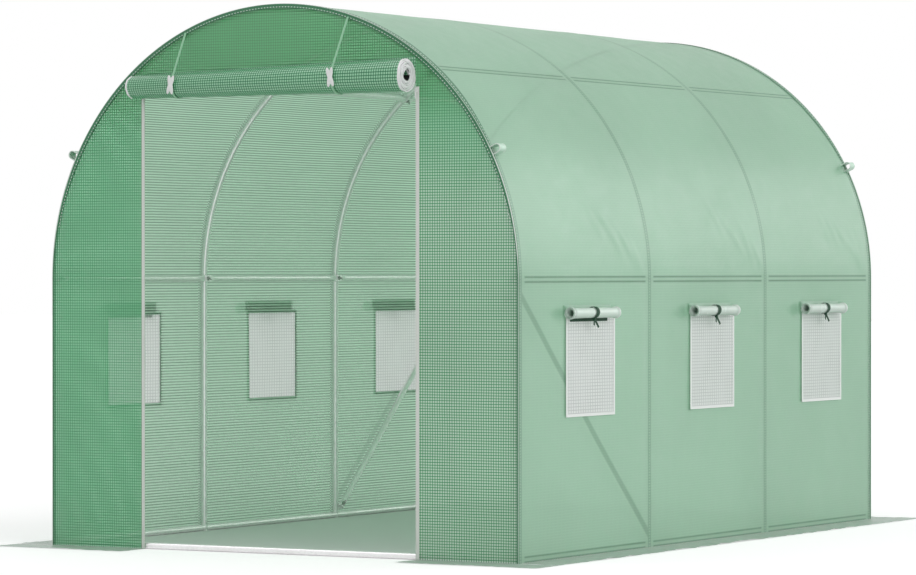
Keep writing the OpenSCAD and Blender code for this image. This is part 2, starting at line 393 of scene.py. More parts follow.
def makeClouds():
    # slow and fine unevenness, each 0 to 1
    group, given, result = newGroup("clouds", ("Coordinate", "Scale"), ("Slow", "Fine"))
    fineScale = times(group, given["Scale"], cloudNoise["fineRatio"])
    for label, scale, detail in (("Slow", given["Scale"], "slowDetail"), ("Fine", fineScale, "fineDetail")):
        noise = addNode(group, "ShaderNodeTexNoise", {"Detail": cloudNoise[detail]})
        wire(group, given["Coordinate"], noise.inputs["Vector"])
        wire(group, scale, noise.inputs["Scale"])
        wire(group, mapRange(group, noise.outputs[0], *cloudNoise["range"]), result[label])
    return group


def makeDust():
    # dust that thins out upwards over the reach, broken up by noise
    group, given, result = newGroup("lowDust", ("Coordinate", "Reach"), ("Dust",))
    noise = addNode(group, "ShaderNodeTexNoise", dustNoise["grain"])
    wire(group, given["Coordinate"], noise.inputs["Vector"])
    low = mapRange(group, splitAxes(group, given["Coordinate"])[2], 0.0, given["Reach"], 1.0, 0.0)
    broken = mapRange(group, noise.outputs[0], *dustNoise["range"])
    wire(group, times(group, low, broken), result["Dust"])
    return group


openWeave, clouds, lowDust = makeOpenWeave(), makeClouds(), makeDust()


def useGroup(tree, group, values):
    made = addNode(tree, "ShaderNodeGroup", node_tree=group)
    for name, source in values.items():
        wire(tree, source, made.inputs[name])
    return made.outputs


def useWeave(tree, where, pitch, width, edge):
    values = {"Coordinate": where["UV"], "Pitch": pitch, "Width": width, "Edge": edge}
    return useGroup(tree, openWeave, values)


def useDust(tree, where, look):
    dust = useGroup(tree, lowDust, {"Coordinate": where["Object"], "Reach": look["dustReach"]})
    return times(tree, dust["Dust"], look["dust"])


def newFinish(name, look, constants):
    # material with its principled shader, texture coordinates and clouds, and a roughness that follows the
    # fine clouds; constants go on the shader's own sockets
    finishes[name] = bpy.data.materials.new(name)
    finishes[name].use_nodes = True
    tree = finishes[name].node_tree
    shader = tree.nodes["Principled BSDF"]
    for label, value in constants.items():
        shader.inputs[label].default_value = value
    where = addNode(tree, "ShaderNodeTexCoord").outputs
    cloud = useGroup(tree, clouds, {"Coordinate": where["Object"], "Scale": look["cloudScale"]})
    wire(tree, between(tree, cloud["Fine"], *look["rough"]), shader.inputs["Roughness"])
    return tree, shader, where, cloud


def addBump(tree, shader, height, depth):
    bump = addNode(tree, "ShaderNodeBump", {"Distance": depth, "Strength": 1.0})
    wire(tree, height, bump.inputs["Height"])
    wire(tree, bump.outputs[0], shader.inputs["Normal"])


def letThrough(tree, shader, look):
    # a share of the light that falls on one side comes out scattered on the other
    through = addNode(tree, "ShaderNodeBsdfTranslucent", {"Color": (*look["through"], 1.0)})
    both = addNode(tree, "ShaderNodeMixShader", {0: look["throughShare"]})
    wire(tree, shader.outputs[0], both.inputs[1])
    wire(tree, through.outputs[0], both.inputs[2])
    wire(tree, both.outputs[0], tree.nodes["Material Output"].inputs["Surface"])


# painted shade of the tubes seen through the sheet: dark lines along their edges, hatched hoop bodies, a
# softer band along the braces and a dotted shadow line beside the hoops
tubeShade = {
    "edge": 0.0088,  # from a tube's middle to the line where the sheet leaves it
    "line": 0.0058, "hoopShare": 0.6,
    "body": (0.0125, 0.0060), "hatchPitch": 0.0105, "hatch": (0.10, 0.48),
    # dotted painted shadow line beside each hoop: its distance from the hoop's middle, and half widths
    "hoopShadowLine": 0.0165, "hoopShadowHalf": (0.0048, 0.0024),
    "clearOfHoop": (0.024, 0.040),  # where the flattened rail ends leave the sheet
    "braceFoot": (-0.495, 0.045), "braceHead": (-1.485, 0.948),
    "braceHalf": (0.019, 0.007), "braceFade": 0.01,
    "braceShare": 0.55,
}


def paintTubeShade(tree, along, around):
    # painted shade of the tubes under the sheet: 1 along both edges of the hoops, rails and base tubes,
    # less along the slanting braces, with the hoop bodies hatched; with the mask of the dotted painted
    # shadow line beside the hoops and the wave that breaks it into dashes
    lengthwise = doMath(tree, "ABSOLUTE", along)
    fromFoot = doMath(tree, "MINIMUM", around, minus(tree, archLength, around))
    rails = (tunnel["tube"], tunnel["spring"], tunnel["spring"] + purlinUp)
    wave = doMath(tree, "SINE", times(tree, fromFoot, 2 * pi / tubeShade["hatchPitch"]))
    hatch = mapRange(tree, wave, -1.0, 1.0, *tubeShade["hatch"])
    clear, total, hoopShadowLine = 1.0, 0.0, 0.0
    for value, places in ((lengthwise, hoopPlaces[2:]), (fromFoot, rails)):
        for place in places:
            off = apart(tree, value, float(place))
            line = mapRange(tree, apart(tree, off, tubeShade["edge"]), tubeShade["line"], 0.0)
            if value is lengthwise:
                clear = times(tree, clear, mapRange(tree, off, *tubeShade["clearOfHoop"]))
                beside = apart(tree, off, tubeShade["hoopShadowLine"])
                hoopShadowLine = larger(tree, hoopShadowLine, mapRange(tree, beside, *tubeShade["hoopShadowHalf"]))
                body = times(tree, mapRange(tree, off, *tubeShade["body"]), hatch)
                line = larger(tree, times(tree, line, tubeShade["hoopShare"]), body)
            else:
                line = times(tree, line, clear)
            total = larger(tree, total, line)
    (y0, z0), (y1, z1) = tubeShade["braceFoot"], tubeShade["braceHead"]
    slope, half = (z1 - z0) / (y1 - y0), (y0 - y1) / 2
    side = doMath(tree, "SIGN", minus(tree, around, archLength / 2))
    y = times(tree, along, side)
    rise = times(tree, minus(tree, y, y0), slope)
    off = times(tree, apart(tree, minus(tree, fromFoot, z0), rise), 1 / math.hypot(1, slope))
    inBay = mapRange(tree, apart(tree, y, (y0 + y1) / 2), half, half - tubeShade["braceFade"])
    band = times(tree, mapRange(tree, off, *tubeShade["braceHalf"]), tubeShade["braceShare"])
    return larger(tree, total, times(tree, band, inBay)), hoopShadowLine, wave


def filmFinish(name, look):
    # woven-reinforced sheet: tapes at a pitch over a clearer film, uneven, dusty near the floor, letting
    # light through; with painted shade of the tubes and a painted backlit inner face, or with painted light
    # and shade on the gables, or with bound ends on what is wound up
    tree, shader, where, cloud = newFinish(name, look, {
        "IOR": 1.45, "Specular IOR Level": look["gloss"],
        "Coat Weight": look["skin"], "Coat Roughness": look["skinRough"],
    })
    weave = useWeave(tree, where, look["pitch"], look["width"], look["edge"])
    u, v = splitAxes(tree, where["UV"])[:2]
    colour = mixColour(tree, weave["Tapes"], look["clear"], look["tape"])
    colour = mixColour(tree, weave["Crossings"], colour, look["crossing"])
    clearAlpha = look["clearAlpha"]
    # painted backlight: from inside, pale film between near-black tapes and less see-through, as if
    # daylight shone through
    if "backlitTape" in look:
        inner = addNode(tree, "ShaderNodeNewGeometry").outputs["Backfacing"]
        lines = useWeave(tree, where, look["innerPitch"], look["innerWidth"], look["edge"])
        paintedBacklight = mixColour(tree, lines["Along"], look["backlitClear"], look["backlitTape"])
        colour = mixColour(tree, inner, colour, paintedBacklight)
        clearAlpha = between(tree, inner, clearAlpha, look["innerAlpha"])
        # painted shade of the tubes under the sheet
        paintedTubeShade, hoopShadowLine, wave = paintTubeShade(tree, u, v)
        colour = mixColour(tree, paintedTubeShade, colour, look["paintedTubeShade"])
        # dotted painted shadow line beside the hoops, seen from inside: dark and pale dashes
        thread = mixColour(tree, mapRange(tree, wave, *look["hoopShadowTurn"]), *look["hoopShadowColours"])
        colour = mixColour(tree, times(tree, hoopShadowLine, inner), colour, thread)
    # painted light: bare film pale and more see-through low down towards the right, as if the bright walls
    # behind shone through
    if "paintedPale" in look:
        low = mapRange(tree, v, *look["paintedPaleBelow"], 1.0, 0.0)
        share = times(tree, low, mapRange(tree, u, *look["paintedPaleFrom"]))
        paintedPaleShare = times(tree, share, minus(tree, 1.0, weave["Tapes"]))
        colour = mixColour(tree, paintedPaleShare, colour, look["paintedPale"])
        # painted shade: darkened high up, where the roof's shade lies behind the gable
        colour = mixColour(tree, mapRange(tree, v, *look["paintedShadeAbove"]), colour, look["deep"], "MULTIPLY")
        clearAlpha = between(tree, share, clearAlpha, look["paintedPaleAlpha"])
    shaded = addNode(tree, "ShaderNodeVectorMath", operation="SCALE")
    wire(tree, colour, shaded.inputs[0])
    shade = between(tree, cloud["Slow"], 1.0 - look["uneven"], 1.0 + look["uneven"])
    wire(tree, shade, shaded.inputs["Scale"])
    dusty = useDust(tree, where, look)
    colour = mixColour(tree, dusty, shaded.outputs[0], look["dustColour"])
    alpha = larger(tree, between(tree, weave["Tapes"], clearAlpha, look["tapeAlpha"]), dusty)
    if "boundFrom" in look:
        wound = mapRange(tree, v, look["leadTo"], look["leadTo"] + look["leadFade"])
        lead = mixColour(tree, weave["Tapes"], look["leadClear"], look["leadTape"])
        end = doMath(tree, "ABSOLUTE", u)
        bound = mapRange(tree, end, look["boundFrom"], look["boundFrom"] + look["boundFade"])
        bound = times(tree, bound, wound)
        colour = mixColour(tree, wound, lead, colour)
        colour = mixColour(tree, bound, colour, look["boundColour"])
        alpha = larger(tree, alpha, bound)
    wire(tree, colour, shader.inputs["Base Color"])
    wire(tree, alpha, shader.inputs["Alpha"])
    addBump(tree, shader, weave["Tapes"], look["bump"])
    if look["throughShare"] > 0:
        letThrough(tree, shader, look)


plainFilm = {
    "pitch": 0.010, "width": 0.32, "edge": 0.06,
    "clear": (0.36, 0.57, 0.43), "tape": (0.305, 0.505, 0.37), "crossing": (0.275, 0.465, 0.335),
    "clearAlpha": 0.76, "tapeAlpha": 0.95,
    "through": (0.46, 0.84, 0.57), "throughShare": 0.25,
    "rough": (0.34, 0.42), "gloss": 0.75, "bump": 0.0002,
    "skin": 0.18, "skinRough": 0.24,  # smooth outer face, which shows at a low angle
    "cloudScale": 1.6, "uneven": 0.05,
    "dust": 0.12, "dustReach": 0.25, "dustColour": (0.42, 0.47, 0.40),
}
denseFilm = {**plainFilm, "clearAlpha": 0.97, "tapeAlpha": 1.0, "throughShare": 0.0}
woundFilm = {**denseFilm, "leadFade": 0.003, "boundFade": 0.0008}
films = {
    "sideFilm": {
        **plainFilm,
        # painted backlight on the inner face
        "backlitClear": (0.79, 0.93, 0.83), "backlitTape": (0.015, 0.045, 0.025), "innerAlpha": 0.86,
        "innerPitch": 0.0108, "innerWidth": 0.42,  # the tapes show more from inside, where pale film and near-black tapes are painted backlight
        # colour of the painted shade of the tubes
        "paintedTubeShade": (0.045, 0.15, 0.08),
        # dark and pale dashes of the dotted painted shadow line beside the hoops
        "hoopShadowTurn": (-0.2, 0.2), "hoopShadowColours": ((0.012, 0.03, 0.02), (0.80, 0.86, 0.82)),
    },
    # painted shade: the wall film again, darker and more saturated, for the gables that face away from the
    # key lamp
    "shadedGableFilm": {
        **plainFilm,
        "gloss": 0.5, "skin": 0.10, "rough": (0.32, 0.44),
        "clear": (0.32, 0.95, 0.54), "tape": (0.018, 0.22, 0.078), "crossing": (0.012, 0.145, 0.052),
        "clearAlpha": 0.40,
        # painted light on the gables
        "paintedPale": (0.84, 0.99, 0.88), "paintedPaleAlpha": 0.60,  # low down towards the right
        "paintedPaleFrom": (-0.35, 0.64), "paintedPaleBelow": (1.20, 1.75),
        # painted shade high up on the gables
        "deep": (0.28, 0.68, 0.38), "paintedShadeAbove": (1.52, 1.72),
        "through": (0.26, 0.78, 0.40), "throughShare": 0.16,
    },
    "skirtFilm": {
        **plainFilm,
        "clear": (0.34, 0.48, 0.39), "tape": (0.28, 0.42, 0.33), "crossing": (0.24, 0.38, 0.29),
        "clearAlpha": 0.80, "throughShare": 0.0, "skin": 0.0, "dust": 0.35, "dustReach": 0.05,
    },
    # dark green of the welts: partly their double layer, partly painted shade
    "weltHemAndShadeFilm": {
        **denseFilm,
        "clear": (0.030, 0.22, 0.09), "tape": (0.018, 0.16, 0.062), "crossing": (0.012, 0.12, 0.045),
    },
    "doorRollFilm": {
        **woundFilm,
        "clear": (0.27, 0.60, 0.37), "tape": (0.030, 0.21, 0.085), "crossing": (0.018, 0.14, 0.055),
        "rough": (0.12, 0.20),
        "boundFrom": 0.5885, "boundColour": (0.88, 0.88, 0.89),
        "leadTo": 0.055, "leadClear": (0.34, 0.66, 0.44), "leadTape": (0.05, 0.27, 0.12),
    },
    "flapFilm": {
        **woundFilm,
        "clear": (0.88, 0.94, 0.90), "tape": (0.82, 0.90, 0.85), "crossing": (0.78, 0.87, 0.81),
        "rough": (0.18, 0.28),
        "through": (0.80, 0.94, 0.86), "throughShare": 0.42,
        "boundFrom": 0.1655, "boundColour": (0.92, 0.93, 0.92),
        "leadTo": 0.030, "leadClear": plainFilm["clear"], "leadTape": plainFilm["tape"],
    },
    "loopFilm": {
        **denseFilm,
        "clear": (0.55, 0.76, 0.62), "tape": (0.44, 0.66, 0.52), "crossing": (0.40, 0.62, 0.48),
    },
}


def steelFinish(name, look):
    # zinc coat: crystal patches, a pale bloom and dull dusty lows
    tree, shader, where, cloud = newFinish(name, look, {"IOR": 1.6})
    crystals = addNode(tree, "ShaderNodeTexVoronoi", {"Scale": look["crystalScale"]})
    wire(tree, where["Object"], crystals.inputs["Vector"])
    patch = addNode(tree, "ShaderNodeSeparateColor")
    wire(tree, crystals.outputs["Color"], patch.inputs[0])
    dusty = useDust(tree, where, look)
    colour = mixColour(tree, patch.outputs[0], look["dark"], look["light"])
    colour = mixColour(tree, times(tree, cloud["Slow"], look["bloom"]), colour, look["bloomColour"])
    wire(tree, mixColour(tree, dusty, colour, look["dustColour"]), shader.inputs["Base Color"])
    wire(tree, between(tree, dusty, look["metal"], look["dustMetal"]), shader.inputs["Metallic"])
    addBump(tree, shader, cloud["Fine"], look["bump"])


tubeSteel = {
    "dark": (0.88, 0.87, 0.88), "light": (0.96, 0.95, 0.96),
    "crystalScale": 140.0, "cloudScale": 6.0,
    "bloom": 0.30, "bloomColour": (0.92, 0.89, 0.90),
    "rough": (0.30, 0.33), "metal": 0.72, "bump": 0.000003,
    "dust": 0.12, "dustReach": 0.05, "dustColour": (0.55, 0.52, 0.47), "dustMetal": 0.2,
}
steels = {
    "galvanisedTube": tubeSteel,
    "platedBolt": {**tubeSteel, "dark": (0.30, 0.32, 0.31), "light": (0.46, 0.48, 0.46), "metal": 0.85},
}


def plasticFinish(name, look):
    # moulded plastic: faint mottle in colour and gloss, with a fine orange-peel bump
    tree, shader, where, cloud = newFinish(name, look, {"IOR": 1.46})
    wire(tree, mixColour(tree, cloud["Slow"], look["dark"], look["light"]), shader.inputs["Base Color"])
    addBump(tree, shader, cloud["Fine"], look["bump"])


moulded = {"cloudScale": 30.0, "rough": (0.25, 0.38), "bump": 0.0001}
plastics = {
    "whitePlastic": {**moulded, "dark": (0.80, 0.82, 0.81), "light": (0.88, 0.89, 0.88)},
    "darkCore": {
        **moulded, "dark": (0.012, 0.014, 0.014), "light": (0.024, 0.026, 0.026), "rough": (0.5, 0.65),
    },
}


def clothFinish(name, look):
    # woven tape or cord: threads both ways at a fine pitch, darker between them
    tree, shader, where, cloud = newFinish(name, look, {"IOR": 1.45, "Sheen Weight": look["sheen"]})
    weave = useWeave(tree, where, look["pitch"], look["width"], look["edge"])
    colour = mixColour(tree, weave["Along"], look["dark"], look["light"])
    colour = mixColour(tree, times(tree, weave["Across"], look["crossed"]), colour, look["dark"])
    colour = mixColour(tree, times(tree, cloud["Slow"], look["uneven"]), colour, look["dark"])
    wire(tree, colour, shader.inputs["Base Color"])
    addBump(tree, shader, weave["Along"], look["bump"])


woven = {
    "pitch": 0.0016, "width": 0.6, "edge": 0.15, "crossed": 0.5, "uneven": 0.3,
    "cloudScale": 10.0, "rough": (0.55, 0.75), "sheen": 0.2, "bump": 0.0001,
}
cloths = {
    "greenWebbing": {
        **woven, "dark": (0.25, 0.55, 0.33), "light": (0.40, 0.72, 0.49),
        "cloudScale": 14.0, "sheen": 0.3, "bump": 0.0002,
    },
    "zipTape": {**woven, "dark": (0.70, 0.73, 0.69), "light": (0.86, 0.88, 0.84), "pitch": 0.0012},
    "screenTape": {**woven, "dark": (0.76, 0.79, 0.77), "light": (0.88, 0.90, 0.88), "rough": (0.45, 0.65)},
    "tieCord": {
        **woven, "dark": (0.004, 0.035, 0.016), "light": (0.010, 0.080, 0.036), "pitch": 0.0018,
        "cloudScale": 40.0, "rough": (0.6, 0.8), "sheen": 0.0, "bump": 0.0002,
    },
    "seamThread": {
        **woven, "dark": (0.62, 0.72, 0.65), "light": (0.82, 0.88, 0.83), "pitch": 0.0012,
        "cloudScale": 40.0, "rough": (0.5, 0.7),
    },
}


def screenFinish(name, look):
    # fine insect mesh: close threads that let some light through, with a heavier thread at a wider pitch
    tree, shader, where, cloud = newFinish(name, look, {"IOR": 1.45})
    fine = useWeave(tree, where, *look["fine"])["Tapes"]
    wide = useWeave(tree, where, *look["wide"])["Tapes"]
    colour = mixColour(tree, wide, look["fineColour"], look["wideColour"])
    colour = mixColour(tree, times(tree, cloud["Slow"], look["uneven"]), colour, look["shade"])
    wire(tree, colour, shader.inputs["Base Color"])
    alpha = between(tree, fine, look["holeAlpha"], look["threadAlpha"])
    wire(tree, larger(tree, alpha, wide), shader.inputs["Alpha"])
    addBump(tree, shader, fine, look["bump"])
    letThrough(tree, shader, look)


screens = {
    "insectMesh": {
        "fine": (0.002, 0.45, 0.1), "wide": (0.0120, 0.26, 0.06),  # threads: pitch, share, soft edge
        "holeAlpha": 0.76, "threadAlpha": 0.97,
        "fineColour": (0.98, 0.97, 0.98), "wideColour": (0.53, 0.52, 0.54), "shade": (0.92, 0.91, 0.93),
        "through": (0.98, 0.97, 0.98), "throughShare": 0.34,
        "cloudScale": 7.0, "uneven": 0.25, "rough": (0.5, 0.65), "bump": 0.0001,
    },
}

for makeFinish, looks in (
    (filmFinish, films), (steelFinish, steels), (plasticFinish, plastics), (clothFinish, cloths),
    (screenFinish, screens),
):
    for name, look in looks.items():
        makeFinish(name, look)
print("finishes made:", len(finishes))


cover = {
    "step": 0.018,
    "closeStep": 0.010,  # where the creases above the mid rails are
    "closeBand": 0.34,
    "wallSag": 0.0045, "eavesSag": 0.0035, "crownSag": 0.0018,
    "ripple": 0.0009, "rippleSeed": 3,
    "tubePress": 0.0006, "tubeWidth": 0.016,
    "creases": 5, "creaseSeed": 12,
    "creaseHeight": 0.0036, "creaseWidth": 0.013, "creaseLength": 0.075,
    "creaseBack": (0.09, 0.075),  # from the hoop behind: first place and step
    "creaseUp": (0.09, 0.035),  # likewise above the mid rail
    "creaseSlope": math.radians(58),
    "creaseScatter": ((-0.02, 0.02), (-0.02, 0.03), (-0.25, 0.2)),  # of place, height and slope
    "creaseShare": (0.5, 1.0), "creaseFade": 0.03,
    "foot": 0.0015,  # lower edge above the floor
}


def coverRelief(y, distance):
    # outward offset of the sheet: sags between the tubes, presses on the hoops, ripples a little,
    # and creases slantwise in the rear half of each bay above the mid rails
    bay = np.clip(np.searchsorted(hoopPlaces, y) - 1, 0, len(hoopPlaces) - 2)
    start, end = hoopPlaces[bay], hoopPlaces[bay + 1]
    share = np.clip((y - start) / (end - start), 0, 1)
    spring = tunnel["spring"]
    low = np.array([0, spring, spring + purlinUp])
    rails = np.concatenate([low, [archLength - spring - purlinUp, archLength - spring, archLength]])
    sags = np.array([cover[name] for name in ("wallSag", "eavesSag", "crownSag", "eavesSag", "wallSag")])
    panel = np.clip(np.searchsorted(rails, distance) - 1, 0, len(sags) - 1)
    part = (distance - rails[panel]) / (rails[panel + 1] - rails[panel])
    hollow = np.sin(pi * share) * np.sin(pi * np.clip(part, 0, 1))
    relief = -sags[panel] * hollow + cover["ripple"] * hollow * waves(y, distance, cover["rippleSeed"])
    nearHoop = np.abs(y[..., None] - hoopPlaces).min(-1)
    relief += cover["tubePress"] * np.exp(-((nearHoop / cover["tubeWidth"]) ** 2))
    rng = np.random.default_rng(cover["creaseSeed"])
    (firstBack, stepBack), (firstUp, stepUp) = cover["creaseBack"], cover["creaseUp"]
    for mirror in (False, True):
        rise = (archLength - distance if mirror else distance) - spring
        for hoop in hoopPlaces[1:]:
            for k in range(cover["creases"]):
                moved, raised, turned = (rng.uniform(*span) for span in cover["creaseScatter"])
                slope = cover["creaseSlope"] + turned
                a = y - (hoop - (firstBack + stepBack * k + moved))
                b = rise - (firstUp + stepUp * k + raised)
                along = -a * math.cos(slope) + b * math.sin(slope)
                across = a * math.sin(slope) + b * math.cos(slope)
                away = (across / cover["creaseWidth"]) ** 2 + (along / cover["creaseLength"]) ** 2
                height = cover["creaseHeight"] * rng.uniform(*cover["creaseShare"])
                relief += height * np.exp(-away) * np.clip(rise / cover["creaseFade"], 0, 1)
    return relief


def makeCover():
    # one sheet from the left foot over the top to the right foot, with the window openings left out
    half = windows["width"] / 2
    ends = [tunnel["front"], tunnel["rear"]]
    stops = np.concatenate([ends, hoopPlaces, windowPlaces - half, windowPlaces + half])
    y = steps(np.sort(stops), cover["step"])
    spring, band = tunnel["spring"], cover["closeBand"]
    lowSide = steps([cover["foot"], windows["sill"], windows["top"], spring], cover["step"])[:-1]
    creased = steps([spring, spring + band], cover["closeStep"])[:-1]
    rise = np.concatenate([lowSide, creased, steps([spring + band, archLength / 2], cover["step"])])
    distance = np.concatenate([rise, archLength - rise[-2::-1]])
    along, around = grid(y, distance)
    points = overArch(around, along, coverRelief(along, around))
    faces = gridFaces(len(y), len(distance))
    middleY = along.ravel()[faces].mean(1)
    middle = around.ravel()[faces].mean(1)
    fromFoot = np.minimum(middle, archLength - middle)
    inWindow = (np.abs(middleY[:, None] - windowPlaces).min(1) < half) & (
        (fromFoot > windows["sill"]) & (fromFoot < windows["top"])
    )
    shape = (points, faces[~inWindow])
    uv = np.stack([along, around], -1)
    piece = putPiece("cover_sheet", shape, "sideFilm", uv, facing=(0, 0, 1))
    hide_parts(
        "left_wall_cover", "right_wall_cover", "left_eaves_cover", "right_eaves_cover", "crown_cover"
    )


makeCover()
print("cover made")


gable = {
    "radius": filmRadius - 0.0008,
    "inset": 0.0010,  # of the sheet behind the solid's outer face
    "step": 0.020,
    "headStep": 0.15,  # share of the height between the door head and the arch
    "sideColumns": 26, "headColumns": 60, "rearGrid": 90,
    "ripple": 0.0011, "waves": (6, 0.5, 0.16),  # their count and longest and shortest length
    "frontSeed": 5, "rearSeed": 8,
    "margin": 0.10,  # over which the ripples fade towards an edge
}


def gableTop(x):
    return tunnel["spring"] + np.sqrt(np.clip(gable["radius"] ** 2 - x**2, 0, None))


def gableRelief(x, z, seed, door):
    # ripples that die out at the arch, the floor and the doorway
    edge = np.minimum(gable["radius"] - np.hypot(x, np.clip(z - tunnel["spring"], 0, None)), z)
    if door:
        beside = np.maximum(np.abs(x) - tunnel["doorHalf"], z - tunnel["doorHead"])
        edge = np.minimum(edge, np.abs(beside))
    return gable["ripple"] * np.clip(edge / gable["margin"], 0, 1) * waves(x, z, seed, *gable["waves"])


def makeFrontGable():
    # two side panels and the head over the doorway, each a grid between its lower edge and the arch, welded
    half, head = tunnel["doorHalf"], tunnel["doorHead"]
    topThere = gableTop(half)
    split = head / topThere
    lowRows = steps([0, split], gable["step"] / topThere)
    highRows = steps([split, 1], gable["headStep"] * (1 - split))
    rows = np.concatenate([lowRows[:-1], highRows])
    out = half + (gable["radius"] - half) * np.sin(np.linspace(0, pi / 2, gable["sideColumns"]))
    across, share = grid(out, rows)
    sideFlat = np.stack([across, np.maximum(share * gableTop(across), cover["foot"])], -1)
    headRows = (highRows - split) / (1 - split)
    across, share = grid(np.linspace(-half, half, gable["headColumns"]), headRows)
    headFlat = np.stack([across, head + share * (gableTop(across) - head)], -1)
    shapes, flats = [], []
    for flat in (sideFlat, headFlat, (sideFlat * np.array([-1, 1]))[::-1]):
        x, z = flat[..., 0], flat[..., 1]
        y = tunnel["front"] + gable["inset"] + gableRelief(x, z, gable["frontSeed"], True)
        shapes.append((np.stack([x, y, z], -1), gridFaces(*x.shape)))
        flats.append(flat.reshape(-1, 2))
    piece = putPiece(
        "front_gable_sheet", together(*shapes), "shadedGableFilm", np.concatenate(flats), True,
        facing=(0, -1, 0),
    )
    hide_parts("front_left_panel", "front_right_panel", "front_top_panel")


def makeRearGable():
    # one sheet between the floor and the arch
    across = gable["radius"] * np.sin(np.linspace(-pi / 2, pi / 2, gable["rearGrid"]))
    x, share = np.meshgrid(across, np.linspace(0, 1, gable["rearGrid"]), indexing="xy")
    z = np.maximum(share * gableTop(x), cover["foot"])
    y = tunnel["rear"] - gable["inset"] - gableRelief(x, z, gable["rearSeed"], False)
    shape = (np.stack([x, y, z], -1), gridFaces(*x.shape))
    uv = np.stack([x, z], -1)
    piece = putPiece("rear_gable_sheet", shape, "shadedGableFilm", uv, facing=(0, 1, 0))
    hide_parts("rear_gable")


makeFrontGable()
makeRearGable()
print("gables made")


skirt = {
    "step": 0.014, "columns": 13,
    "lift": 0.0012,
    "wave": 0.0028, "waveLimits": (-0.2, 2),  # height of the slow waves, and the share kept of them
    "crumple": 0.0007,
    "ragged": 0.004,  # unevenness of the outer edge
    "edgeWaves": (5, 0.7, 0.12), "slowWaves": (6, 0.5, 0.12), "fineWaves": (8, 0.09, 0.04),
}


def makeSkirt(node, inner, along, outwards, seed):
    # strip on the floor: from the inner edge outwards, waving more towards its free edge
    start, run = np.array(inner), np.array(along)
    length, width = np.linalg.norm(run), tunnel["skirt"]
    u = np.linspace(0, length, math.ceil(length / skirt["step"]) + 1)
    a, b = grid(u, np.linspace(0, width, skirt["columns"]))
    share = b / width
    reach = b - skirt["ragged"] * share * (0.5 + 0.5 * waves(a, 0 * a, seed, *skirt["edgeWaves"]))
    flat = start + a[..., None] * run / length + reach[..., None] * np.array(outwards)
    slow = np.clip(waves(a, b, seed + 1, *skirt["slowWaves"]), *skirt["waveLimits"])
    z = skirt["lift"] + skirt["wave"] * share * slow
    z = z + skirt["crumple"] * (1 + waves(a, b, seed + 2, *skirt["fineWaves"])) * share
    shape = (np.concatenate([flat, z[..., None]], -1), gridFaces(*a.shape))
    uv = np.stack([a, b], -1)
    piece = putPiece(node + "_sheet", shape, "skirtFilm", uv, facing=(0, 0, 1))
    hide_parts(node)


def makeSkirts():
    # node, inner corner, run, outward direction and seed of each strip
    radius, front, rear, door = (tunnel[name] for name in ("radius", "front", "rear", "doorHalf"))
    corner = radius + tunnel["skirt"]
    for strip in (
        ("right_skirt", (radius, front), (0, rear - front), (1, 0), 30),
        ("left_skirt", (-radius, front), (0, rear - front), (-1, 0), 40),
        ("front_right_skirt", (door, front), (corner - door, 0), (0, -1), 50),
        ("front_left_skirt", (-door, front), (door - corner, 0), (0, -1), 60),
        ("rear_skirt", (-corner, rear), (2 * corner, 0), (0, 1), 70),
    ):
        makeSkirt(*strip)


makeSkirts()
print("skirts made")


welt = {
    "step": 0.02,
    # the roof side widens over the top into a dark band of painted shade
    "overRoof": (0.005, 0.034),  # width on the roof side, along the walls and over the top
    "overGable": (0.004, 0.015),  # likewise on the gable side
    "gableWidens": (1.15, 1.45),
    "widens": (1.35, 1.72),  # heights between which the roof side widens
    "thick": 0.0008,
    "off": 0.0012,  # from the sheet to the welt's inner face
    "stitchPitch": 0.013, "stitchLength": 0.0080, "stitchRadius": 0.0014,
    "gableStitches": (-0.010, 1.20), "roofStitches": (0.012, 1.45),  # from the edge, and lowest distance
    # pale piping, a painted highlight on the corner, thick only where that highlight shows
    "pipingRadius": (0.0007, 0.0019),  # thick only between these heights
    "pipingSpans": ((0.98, 1.18), (1.42, 1.52)),
}
weltOut = welt["off"] + welt["thick"]
weltEnds = (cover["foot"], tunnel["spring"], archLength - tunnel["spring"], archLength - cover["foot"])
weltPlaces = steps(weltEnds, welt["step"])


def alongArch(low, high, span):
    # a size that goes from low to high as the arch rises through the span of heights
    height = archLine(weltPlaces)[0][:, 1]
    return low + (high - low) * ease(np.clip((height - span[0]) / (span[1] - span[0]), 0, 1))


def makeWelt(name, end, sign):
    # folded strip over the edge of the arch: an angle profile carried round the arch, wider over the top;
    # its dark green is partly its double layer and partly painted shade, and the wider part over the top
    # is painted shade
    over = alongArch(*welt["overRoof"], welt["widens"])
    down = alongArch(*welt["overGable"], welt["gableWidens"])
    far = np.stack([-down, 0 * down + welt["off"], 0 * down + welt["off"]], -1)
    grow = np.array([[0, 1, 1], [-1, -1, 0]]) * welt["thick"]
    edge = np.full(len(weltPlaces), -welt["off"])
    deep = np.stack([edge, edge, over], -1)
    layers = [
        overArch(weltPlaces[:, None], end + sign * (deep + extra * grow[1]), far + extra * grow[0])
        for extra in (1, 0)
    ]
    wide = np.stack([0 * over, down, over + down], -1)
    uv = slabUv(np.broadcast_to(weltPlaces[:, None], wide.shape), wide)
    putPiece(name, slab(*layers), "weltHemAndShadeFilm", uv, True, 30)


